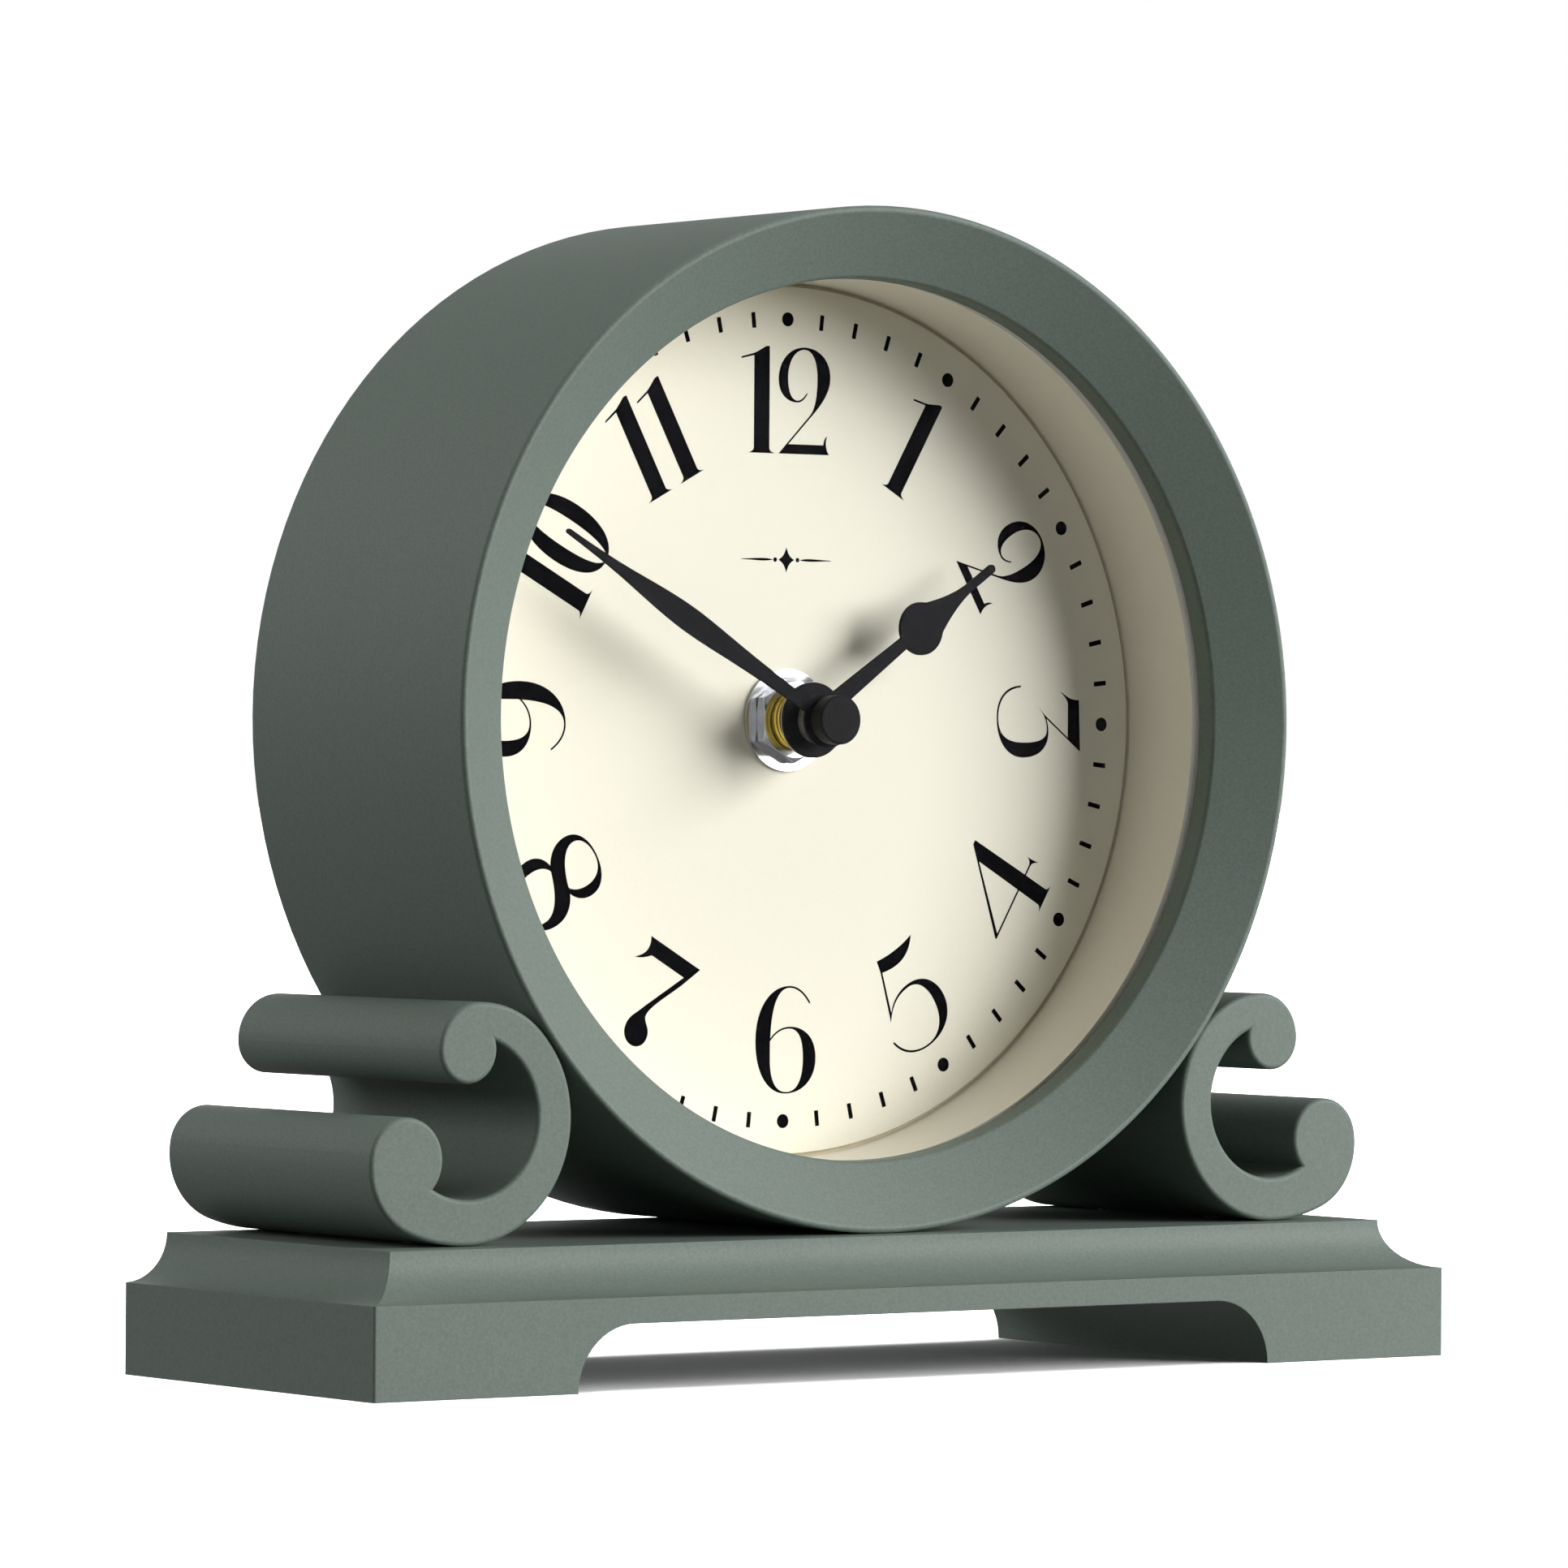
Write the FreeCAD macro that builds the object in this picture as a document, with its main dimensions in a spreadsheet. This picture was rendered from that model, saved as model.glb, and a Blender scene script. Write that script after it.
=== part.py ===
import FreeCAD, Part
import math
import os
import Sketcher

# Mantel clock: a round drum case between two C-scrolls on a coved plinth, with a quartz movement.
# Millimetres, +Z up, the dial faces -Y, the origin is under the middle of the clock's box.

SIZES = {
    # plinth
    "plinth_width": 175.0, "plinth_depth": 60.0, "plinth_rise": 18.5, "cove_radius": 6.4,
    "arch_width": 113.0, "arch_rise": 8.7, "plinth_edge_round": 0.35,
    # drum case
    "case_radius": 68.0, "case_depth": 51.0, "case_setback": 10.0, "case_wall": 7.0,
    "lip_width": 2.35, "dish_depth": 5.3, "lip_depth": 3.0, "case_edge_round": 0.6,
    # scrolls
    "scroll_setback": 1.0, "ring_radius": 16.1, "scroll_band": 5.6, "shoulder_radius": 13.5,
    "brow_radius": 6.1, "upper_curl_radius": 4.4, "sole_radius": 24.6, "heel_radius": 9.4,
    "lower_curl_radius": 5.55, "hollow_left": 0.2, "hollow_up": 0.3,
    "brow_angle": 92.0, "sole_sweep": 21.0, "heel_sweep": 79.0, "scroll_edge_round": 0.6,
    # glazing, dial and boards
    "seat_clearance": 0.2, "lens_thick": 2.0, "sleeve_wall": 1.8, "dial_depth": 24.2,
    "dial_gap": 0.6, "dial_thick": 0.6, "board_thick": 3.0, "panel_thick": 3.0,
    "panel_recess": 1.0, "window_gap": 2.0, "pillar_radius": 4.0,
    # fastenings
    "screw_radius": 1.5, "screw_head_radius": 2.9, "screw_head_thick": 1.5, "screw_bite": 4.6,
    "fixed_clearance": 0.05, "running_clearance": 0.05, "glue_gap": 0.05, "plinth_screw_pitch": 24.0,
    "panel_screw_length": 12.0,
    # hand stack, measured forwards from the dial's face
    "bush_radius": 3.95, "bush_front": 5.2, "thread_pitch": 0.75, "thread_rise": 0.3,
    "washer_radius": 6.9, "washer_thick": 0.5, "nut_flats": 10.15, "nut_thick": 1.9,
    "nut_chamfer": 0.35, "rubber_radius": 9.0, "rubber_thick": 1.0,
    "arbor_radius": 1.4, "tube_radius": 2.4, "hand_thick": 0.45, "hour_hand_front": 6.6,
    "minute_hand_front": 9.75, "hour_ring": 5.05, "minute_ring": 3.8, "hex_flats": 5.4,
    "hex_thick": 0.4, "collet_flange": 3.4, "collet_wall": 0.2, "minute_collet_radius": 3.2,
    "stack_gap": 0.3, "cap_front": 12.8, "cap_radius": 3.3, "cap_neck_radius": 2.9,
    "cap_neck": 0.85, "cap_edge_round": 0.25, "cap_bite": 1.5,
    # hands; the half-widths are of the blades
    "hour_length": 37.0, "hour_root_half": 1.4, "hour_stem_half": 0.85, "hour_bulb": 3.6,
    "hour_bulb_share": 0.592, "hour_neck_half": 2.4, "hour_tip_half": 0.6, "hour_tip_share": 0.89,
    "minute_length": 48.8, "minute_root_half": 1.0, "minute_tip_half": 0.33,
    "hour_angle": 55.0, "minute_angle": 300.0,
    # quartz movement
    "movement_wall": 1.2, "cell_radius": 7.2, "cell_length": 49.5, "cell_nub_radius": 2.7,
    "cell_nub": 1.0, "bay_gap": 0.6, "cell_sink": 0.1, "wheel_clearance": 1.16, "third_clearance": 0.845,
    "contact_thick": 0.5, "contact_rise": 1.25, "contact_size": 11.0,
    "pivot_radius": 0.5, "pivot_bite": 0.6,
    "knob_radius": 6.5, "knob_thick": 3.0, "knob_gap": 0.4, "knob_shaft_radius": 1.5,
    "motion_module": 0.5, "third_module": 0.2, "step_module": 0.16,
    "wheel_thick": 1.2, "thin_wheel": 0.6, "train_gap": 0.4, "magnet_radius": 3.0,
    "magnet_thick": 3.0, "air_gap": 0.4, "stator_thick": 1.0, "stator_arm": 1.5,
    "coil_radius": 3.0, "coil_length": 22.0, "flange_thick": 1.0, "flange_rim": 0.6,
    "board_width": 16.0, "board_height": 12.0, "can_radius": 1.5, "can_length": 6.0,
}
# Edges of the blades between root and tip: (half-width, height as a share of the hand's length).
HOUR_TAPER = ((1.5, 0.731), (0.8, 0.808))
MINUTE_LEAF = ((1.0, 0.23), (1.32, 0.37), (1.68, 0.54), (1.35, 0.66), (0.75, 0.79), (0.44, 0.9))
TEETH = {"cannon": 10, "minute": 30, "minute_pinion": 8, "hour": 32, "knob": 12,
         "centre": 64, "third_pinion": 8, "third": 64, "step_pinion": 8, "step": 60, "rotor": 10}
# Tooth form, in modules except for the angle in degrees: tip, foot and slack on the pitch circle.
PRESSURE_ANGLE = 20.0
TOOTH_TIP = 0.75
TOOTH_FOOT = 1.05
TOOTH_SLACK = 0.14
FLANK_STEPS = 3
# Directions from one arbor to the next, in degrees from the 3 o'clock side, seen from the front.
MINUTE_DIRECTION = 60.0
KNOB_DIRECTION = 40.0
THIRD_DIRECTION = 160.0
STEP_DIRECTION = 110.0
ROTOR_DIRECTION = 80.0

doc = FreeCAD.newDocument("mantel_clock")
sheet = doc.addObject("Spreadsheet::Sheet", "sizes")
for row, (alias, number) in enumerate(SIZES.items(), 1):
    sheet.set("A%d" % row, alias)
    sheet.set("B%d" % row, str(number))
    sheet.setAlias("B%d" % row, alias)
doc.recompute()


class Size:
    """A length, kept as its number and as the sheet expression it comes from."""

    def __init__(self, number, text):
        self.number = number
        self.text = text

    def __add__(self, other):
        other = as_size(other)
        return Size(self.number + other.number, "(%s + %s)" % (self.text, other.text))

    def __sub__(self, other):
        other = as_size(other)
        return Size(self.number - other.number, "(%s - %s)" % (self.text, other.text))

    def __mul__(self, other):
        other = as_size(other)
        return Size(self.number * other.number, "(%s * %s)" % (self.text, other.text))

    def __truediv__(self, other):
        other = as_size(other)
        return Size(self.number / other.number, "(%s / %s)" % (self.text, other.text))

    def __neg__(self):
        return Size(-self.number, "(-1 * %s)" % self.text)


def as_size(value):
    return value if isinstance(value, Size) else Size(float(value), repr(float(value)))


def larger(first, second):
    return max((first, second), key=lambda size: size.number)


def root(value):
    return Size(math.sqrt(value.number), "sqrt(%s)" % value.text)


def cell(alias):
    return Size(SIZES[alias], "sizes." + alias)


def tip_radius(wheel, module):
    """A toothed wheel's radius over its tips."""
    return module * (TEETH[wheel] / 2 + TOOTH_TIP)


def arbor_at(start, first, second, module, degrees):
    """The next arbor's place: a mesh's centre distance away in the given direction."""
    reach = module * (TEETH[first] + TEETH[second]) / 2
    turn = math.radians(degrees)
    return (start[0] + reach * math.cos(turn), start[1] + reach * math.sin(turn))


ZERO = as_size(0)
CASE_FRONT = cell("dial_depth")
CASE_BACK = cell("dial_depth") - cell("case_depth")
PLINTH_FRONT = -(cell("case_setback") + cell("case_depth")) / 2
PLINTH_BACK = PLINTH_FRONT + cell("plinth_depth")
SCROLL_FRONT = PLINTH_FRONT + cell("case_setback") + cell("scroll_setback")
SCROLL_DEPTH = cell("case_depth") - cell("scroll_setback") * 2
SCROLL_BACK = SCROLL_FRONT + SCROLL_DEPTH
DIAL_Y = PLINTH_FRONT + cell("case_setback") + cell("dial_depth")
DIAL_Z = cell("plinth_rise") + cell("glue_gap") + cell("case_radius")
# The scroll's ring stands on the plinth and touches the drum.
SCROLL_Z = cell("plinth_rise") + cell("glue_gap") + cell("ring_radius")
SCROLL_RISE = cell("case_radius") - cell("ring_radius")
SCROLL_REACH = cell("case_radius") + cell("ring_radius") + cell("glue_gap")
SCROLL_X = root(SCROLL_REACH * SCROLL_REACH - SCROLL_RISE * SCROLL_RISE)
SCREW_SEAT = cell("arch_rise") + cell("screw_head_thick") + cell("fixed_clearance")
# Radii inside the drum, then its levels from front to back.
BORE_RADIUS = cell("case_radius") - cell("case_wall")
LIP_RADIUS = BORE_RADIUS - cell("lip_width")
SEAT_RADIUS = BORE_RADIUS - cell("seat_clearance")
SLEEVE_RADIUS = SEAT_RADIUS - cell("sleeve_wall")
DIAL_RADIUS = SLEEVE_RADIUS - cell("dial_gap")
LIP_FRONT = CASE_FRONT - cell("dish_depth")
LENS_FRONT = LIP_FRONT - cell("lip_depth")
LENS_BACK = LENS_FRONT - cell("lens_thick")
BOARD_FRONT = -cell("dial_thick")
BOARD_BACK = BOARD_FRONT - cell("board_thick")
PANEL_BACK = CASE_BACK + cell("panel_recess")
PANEL_FRONT = PANEL_BACK + cell("panel_thick")
MOTION = cell("motion_module")
HOUR_TIP = tip_radius("hour", MOTION)
# The centre wheel is as large as it takes for the third wheel's arbor to pass the hour wheel.
CENTRE_MODULE = ((HOUR_TIP + cell("pivot_radius") + cell("third_clearance")) * 2
                 / (TEETH["centre"] + TEETH["third_pinion"]))
CENTRE_AT = (ZERO, ZERO)
MINUTE_AT = arbor_at(CENTRE_AT, "cannon", "minute", MOTION, MINUTE_DIRECTION)
KNOB_AT = arbor_at(MINUTE_AT, "minute", "knob", MOTION, KNOB_DIRECTION)
THIRD_AT = arbor_at(CENTRE_AT, "centre", "third_pinion", CENTRE_MODULE, THIRD_DIRECTION)
STEP_AT = arbor_at(THIRD_AT, "third", "step_pinion", cell("third_module"), STEP_DIRECTION)
ROTOR_AT = arbor_at(STEP_AT, "step", "rotor", cell("step_module"), ROTOR_DIRECTION)
PIVOTS = (MINUTE_AT, KNOB_AT, THIRD_AT, STEP_AT, ROTOR_AT)
# The movement is built round the cell and its two contacts, with the wheels and the coil above.
MOVEMENT_INNER_HALF = (cell("cell_length") / 2 + cell("stack_gap") + cell("contact_rise")
                       + cell("contact_thick"))
MOVEMENT_HALF = MOVEMENT_INNER_HALF + cell("movement_wall")
MOVEMENT_FRONT = BOARD_BACK - cell("rubber_thick")
MOVEMENT_INSIDE = MOVEMENT_FRONT - cell("movement_wall")
COVER_BACK = MOVEMENT_INSIDE - cell("stack_gap") - cell("cell_radius") * 2 - cell("cell_sink")
COVER_FRONT = COVER_BACK + cell("movement_wall")
COIL_RIM = cell("coil_radius") + cell("flange_rim")
MINUTE_TOP = MINUTE_AT[1] + tip_radius("minute", MOTION) + cell("train_gap")
MOVEMENT_ROOF = larger(MOVEMENT_INNER_HALF, MINUTE_TOP + COIL_RIM * 2 + cell("glue_gap"))
MOVEMENT_HIGH = MOVEMENT_ROOF + cell("movement_wall")
WHEEL_REACH = larger(HOUR_TIP, tip_radius("centre", CENTRE_MODULE))
BAY_TOP = -(WHEEL_REACH + cell("wheel_clearance") + cell("movement_wall"))
BAY_LOW = BAY_TOP - (cell("cell_radius") + cell("bay_gap")) * 2
MOVEMENT_LOW = BAY_LOW - cell("movement_wall")
WINDOW_LOW = MOVEMENT_LOW - cell("window_gap")
WINDOW_HIGH = MOVEMENT_HIGH + cell("window_gap")
WINDOW_HALF = MOVEMENT_HALF + cell("window_gap")
PILLAR_RING = (SEAT_RADIUS + larger(WINDOW_HALF, WINDOW_HIGH) * root(as_size(2))) / 2
FACING_FRONT = FreeCAD.Rotation(FreeCAD.Vector(1, 0, 0), 90)
NODES = []


def place(thing, x=ZERO, y=DIAL_Y, z=DIAL_Z, rotation=FACING_FRONT):
    """Puts a piece with its own +Z towards the viewer, on the dial's axis unless told otherwise."""
    thing.Placement = FreeCAD.Placement(FreeCAD.Vector(x.number, y.number, z.number), rotation)
    for axis, value in zip("xyz", (x, y, z)):
        thing.setExpression("Placement.Base." + axis, value.text)


def keep(thing, node):
    """Gives a finished piece its node name."""
    thing.Label = node
    NODES.append(thing)
    return thing


def move(thing, x=ZERO, y=ZERO, z=ZERO):
    for axis, value in zip("xyz", (x, y, z)):
        thing.setExpression("Placement.Base." + axis, value.text)
    return thing


def cylinder(name, radius, low, high, x=ZERO, y=ZERO):
    """A Part cylinder along +Z between two heights."""
    thing = doc.addObject("Part::Cylinder", name)
    thing.setExpression("Radius", radius.text)
    thing.setExpression("Height", (high - low).text)
    return move(thing, x, y, low)


def box(name, low, high):
    """A Part box between two corners."""
    thing = doc.addObject("Part::Box", name)
    for prop, first, last in zip(("Length", "Width", "Height"), low, high):
        thing.setExpression(prop, (last - first).text)
    return move(thing, *low)


def cut(name, base, tool):
    thing = doc.addObject("Part::Cut", name)
    thing.Base = base
    thing.Tool = tool
    return thing


def joined(name, things):
    thing = doc.addObject("Part::MultiFuse", name)
    thing.Shapes = things
    return thing


def bored(name, base, tools):
    """The base less all the tools."""
    return cut(name, base, tools[0] if len(tools) == 1 else joined(name + "_tools", tools))


def tube(name, outer, inner, low, high):
    solid = cylinder(name + "_outside", outer, low, high)
    return cut(name, solid, cylinder(name + "_bore", inner, low - 1, high + 1))


def grouped(name, things):
    """Separate equal solids in one object."""
    thing = doc.addObject("Part::Compound", name)
    thing.Links = things
    return thing


def body(name):
    return doc.addObject("PartDesign::Body", name)


def plane_of(owner, role):
    return next(item for item in owner.Origin.OriginFeatures if item.Role == role)


def sketch_on(owner, name, role, offset=None):
    """A sketch on one of the body's own planes, moved along that plane's normal."""
    sketch = owner.newObject("Sketcher::SketchObject", name)
    sketch.AttachmentSupport = [(plane_of(owner, role), "")]
    sketch.MapMode = "FlatFace"
    if offset is not None:
        sketch.setExpression("AttachmentOffset.Base.z", offset.text)
    return sketch


def bind(sketch, kind, where, value):
    """Adds one dimension and ties it to the sheet."""
    index = sketch.addConstraint(Sketcher.Constraint(kind, *where, value.number))
    name = "size%d" % index
    sketch.renameConstraint(index, name)
    sketch.setExpression("Constraints." + name, value.text)


def polygon(sketch, corners):
    """A closed outline of straight lines, every corner tied to the sheet."""
    points = [FreeCAD.Vector(x.number, y.number, 0) for x, y in corners]
    count = len(points)
    first = sketch.GeometryCount
    for index in range(count):
        sketch.addGeometry(Part.LineSegment(points[index], points[(index + 1) % count]), False)
    for index in range(count):
        after = first + (index + 1) % count
        sketch.addConstraint(Sketcher.Constraint("Coincident", first + index, 2, after, 1))
    for index, (x, y) in enumerate(corners):
        bind(sketch, "DistanceX", (-1, 1, first + index, 1), x)
        bind(sketch, "DistanceY", (-1, 1, first + index, 1), y)


def circle(sketch, x, y, radius):
    centre = FreeCAD.Vector(x.number, y.number, 0)
    index = sketch.addGeometry(Part.Circle(centre, FreeCAD.Vector(0, 0, 1), radius.number), False)
    bind(sketch, "Radius", (index,), radius)
    bind(sketch, "DistanceX", (-1, 1, index, 3), x)
    bind(sketch, "DistanceY", (-1, 1, index, 3), y)


def pad(owner, sketch, length):
    feature = owner.newObject("PartDesign::Pad", sketch.Name + "_pad")
    feature.Profile = sketch
    feature.setExpression("Length", length.text)
    return feature


def pocket(owner, sketch):
    """Cuts a sketch right through its body, both ways."""
    feature = owner.newObject("PartDesign::Pocket", sketch.Name + "_pocket")
    feature.Profile = sketch
    feature.Type = "ThroughAll"
    feature.Midplane = True
    return feature


def turned(owner, corners, name="profile"):
    """Turns an outline of (radius, height) corners about the body's own Z."""
    sketch = sketch_on(owner, owner.Name + "_" + name, "XZ_Plane")
    polygon(sketch, corners)
    feature = owner.newObject("PartDesign::Revolution", sketch.Name + "_turning")
    feature.Profile = sketch
    feature.ReferenceAxis = (sketch, ["V_Axis"])
    feature.Angle = 360
    return feature


def rounded(owner, radius, chosen):
    """Rounds the edges of the body's last feature that pass the test."""
    doc.recompute()
    last = owner.Tip
    names = ["Edge%d" % n for n, edge in enumerate(last.Shape.Edges, 1) if chosen(edge)]
    feature = owner.newObject("PartDesign::Fillet", owner.Name + "_round")
    feature.Base = (last, names)
    feature.setExpression("Radius", radius.text)
    return feature


def ring_edge(radius, height):
    """A test for the round edge of this radius at this height."""
    def test(edge):
        curve = edge.Curve
        return (isinstance(curve, Part.Circle) and abs(curve.Radius - radius.number) < 0.01
                and abs(curve.Center.z - height.number) < 0.01)
    return test


def make_plinth():
    """Slab with coves on the front and both ends, an arch below and screw holes."""
    plinth = body("plinth")
    half = cell("plinth_width") / 2
    top = cell("plinth_rise")
    slab = sketch_on(plinth, "plinth_plan", "XY_Plane")
    polygon(slab, [(-half, PLINTH_FRONT), (half, PLINTH_FRONT), (half, PLINTH_BACK), (-half, PLINTH_BACK)])
    pad(plinth, slab, top)
    front_cove = sketch_on(plinth, "plinth_front_cove", "YZ_Plane")
    circle(front_cove, PLINTH_FRONT, top, cell("cove_radius"))
    pocket(plinth, front_cove)
    end_coves = sketch_on(plinth, "plinth_end_coves", "XZ_Plane")
    circle(end_coves, -half, top, cell("cove_radius"))
    circle(end_coves, half, top, cell("cove_radius"))
    pocket(plinth, end_coves)
    arch_half = cell("arch_width") / 2
    flat_half = arch_half - cell("arch_rise")
    arch = sketch_on(plinth, "plinth_arch", "XZ_Plane")
    polygon(arch, [(-flat_half, -cell("arch_rise")), (flat_half, -cell("arch_rise")),
                   (flat_half, cell("arch_rise")), (-flat_half, cell("arch_rise"))])
    pocket(plinth, arch)
    arch_ends = sketch_on(plinth, "plinth_arch_ends", "XZ_Plane")
    circle(arch_ends, -flat_half, ZERO, cell("arch_rise"))
    circle(arch_ends, flat_half, ZERO, cell("arch_rise"))
    pocket(plinth, arch_ends)
    screw_plan = sketch_on(plinth, "plinth_screw_plan", "XY_Plane")
    sink_plan = sketch_on(plinth, "plinth_sink_plan", "XY_Plane")
    for x, y in plinth_screw_places():
        circle(screw_plan, x, y, cell("screw_radius") + cell("fixed_clearance"))
        circle(sink_plan, x, y, cell("screw_head_radius") + cell("fixed_clearance"))
    pocket(plinth, screw_plan)
    sinks = plinth.newObject("PartDesign::Pocket", "plinth_sinks")
    sinks.Profile = sink_plan
    sinks.Reversed = True
    sinks.setExpression("Length", SCREW_SEAT.text)
    rounded(plinth, cell("plinth_edge_round"), upright_corner)
    return keep(plinth, "plinth")


def upright_corner(edge):
    """One of the four straight upright corners, which the paint softens."""
    if not isinstance(edge.Curve, Part.Line):
        return False
    upright = abs(edge.tangentAt(edge.FirstParameter).z) > 0.99
    across = edge.valueAt(edge.FirstParameter).x
    return upright and abs(abs(across) - SIZES["plinth_width"] / 2) < 0.01


def plinth_screw_places():
    """Two screws under the drum and two under each scroll, set fore and aft of the drum's middle."""
    middle = SCROLL_FRONT + SCROLL_DEPTH / 2
    reach = cell("plinth_screw_pitch") / 2
    return [(x, middle + side) for x in (-SCROLL_X, ZERO, SCROLL_X) for side in (-reach, reach)]


def polar(centre, radius, degrees):
    """The point at a length and an angle from a middle."""
    angle = math.radians(degrees)
    return centre + FreeCAD.Vector(math.cos(angle), math.sin(angle), 0) * radius.number


def arc(sketch, centre, radius, start, end):
    """An arc drawn anticlockwise from start to end degrees, its radius tied to the sheet."""
    curve = Part.Circle(centre, FreeCAD.Vector(0, 0, 1), radius.number)
    index = sketch.addGeometry(
        Part.ArcOfCircle(curve, math.radians(start), math.radians(end)), False)
    bind(sketch, "Radius", (index,), radius)
    return index


def direction(start, end):
    return math.degrees(math.atan2(end.y - start.y, end.x - start.x))


def crossing(first, first_radius, second, second_radius, side):
    """Where two circles cross, on the given side of the line between their middles."""
    gap = (second - first).Length
    along = (first_radius.number ** 2 - second_radius.number ** 2 + gap ** 2) / (2 * gap)
    across = math.sqrt(first_radius.number ** 2 - along ** 2)
    line = (second - first) / gap
    return first + line * along + FreeCAD.Vector(-line.y, line.x, 0) * across * side


def scroll_outline(sketch):
    """The C of the right scroll, as tangent arcs outside and one round hollow inside."""
    ring_size = cell("ring_radius")
    shoulder_size = cell("shoulder_radius")
    brow_size = cell("brow_radius")
    curl_size = cell("upper_curl_radius")
    sole_size = cell("sole_radius")
    heel_size = cell("heel_radius")
    foot_size = cell("lower_curl_radius")
    hollow_size = ring_size - cell("scroll_band")
    ring = FreeCAD.Vector(SCROLL_X.number, SCROLL_Z.number, 0)
    touch = direction(ring, FreeCAD.Vector(0, DIAL_Z.number, 0))
    brow_from = 180.0 - SIZES["brow_angle"]
    heel_from = SIZES["sole_sweep"] - 90.0
    heel_to = heel_from + SIZES["heel_sweep"]
    shoulder = polar(ring, ring_size - shoulder_size, touch)
    brow = polar(shoulder, shoulder_size - brow_size, brow_from)
    curl = polar(brow, brow_size - curl_size, 0)
    sole = polar(ring, sole_size - ring_size, 90)
    heel = polar(sole, sole_size - heel_size, heel_from)
    foot = polar(heel, heel_size - foot_size, heel_to)
    hollow = ring + FreeCAD.Vector(-SIZES["hollow_left"], SIZES["hollow_up"], 0)
    high_notch = crossing(hollow, hollow_size, curl, curl_size, 1)
    low_notch = crossing(hollow, hollow_size, foot, foot_size, -1)
    arc(sketch, ring, ring_size, touch, 270)
    arc(sketch, sole, sole_size, 270, 360 + heel_from)
    arc(sketch, heel, heel_size, heel_from, heel_to)
    arc(sketch, foot, foot_size, heel_to, 360 + direction(foot, low_notch))
    arc(sketch, hollow, hollow_size, direction(hollow, high_notch), 360 + direction(hollow, low_notch))
    arc(sketch, curl, curl_size, direction(curl, high_notch), 360)
    arc(sketch, brow, brow_size, 0, brow_from)
    arc(sketch, shoulder, shoulder_size, brow_from, touch)


def make_scrolls():
    """The right scroll, and the left one as its mirror image."""
    scroll = body("right_scroll")
    outline = sketch_on(scroll, "scroll_outline", "XZ_Plane", -SCROLL_BACK)
    scroll_outline(outline)
    pad(scroll, outline, SCROLL_DEPTH)
    holes = sketch_on(scroll, "scroll_screw_holes", "XY_Plane", cell("plinth_rise"))
    for x, y in plinth_screw_places()[4:]:
        circle(holes, x, y, cell("screw_radius") + cell("fixed_clearance"))
    drilled = scroll.newObject("PartDesign::Pocket", "scroll_drilled")
    drilled.Profile = holes
    drilled.Reversed = True
    drilled.setExpression("Length", (cell("screw_bite") + cell("fixed_clearance")).text)
    ends = (SCROLL_FRONT.number, SCROLL_BACK.number)
    rounded(scroll, cell("scroll_edge_round"), lambda edge: end_edge(edge, ends))
    mirrored = doc.addObject("Part::Mirroring", "left_scroll")
    mirrored.Source = scroll
    mirrored.Normal = FreeCAD.Vector(1, 0, 0)
    keep(scroll, "right_scroll")
    keep(mirrored, "left_scroll")


def end_edge(edge, ends):
    """An edge that lies wholly in the front or the back face."""
    depths = [edge.valueAt(value).y for value in edge.ParameterRange]
    return any(max(abs(depth - end) for depth in depths) < 0.01 for end in ends)


def make_case():
    """One turning: a dished bezel, a lip, a shoulder for the lens and an open bore behind."""
    case = body("case_drum")
    turned(case, [(cell("case_radius"), CASE_FRONT), (LIP_RADIUS, LIP_FRONT), (LIP_RADIUS, LENS_FRONT),
                  (BORE_RADIUS, LENS_FRONT), (BORE_RADIUS, CASE_BACK), (cell("case_radius"), CASE_BACK)])
    holes = sketch_on(case, "case_screw_holes", "XZ_Plane", BORE_RADIUS)
    for x, y in plinth_screw_places()[2:4]:
        circle(holes, x, DIAL_Y - y, cell("screw_radius") + cell("fixed_clearance"))
    drilled = case.newObject("PartDesign::Pocket", "case_drilled")
    drilled.Profile = holes
    drilled.Reversed = True
    drilled.setExpression("Length", (cell("case_wall") + 1).text)
    edges = [ring_edge(cell("case_radius"), CASE_FRONT), ring_edge(cell("case_radius"), CASE_BACK),
             ring_edge(LIP_RADIUS, LIP_FRONT)]
    rounded(case, cell("case_edge_round"), lambda edge: any(test(edge) for test in edges))
    place(case)
    return keep(case, "case_drum")


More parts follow.
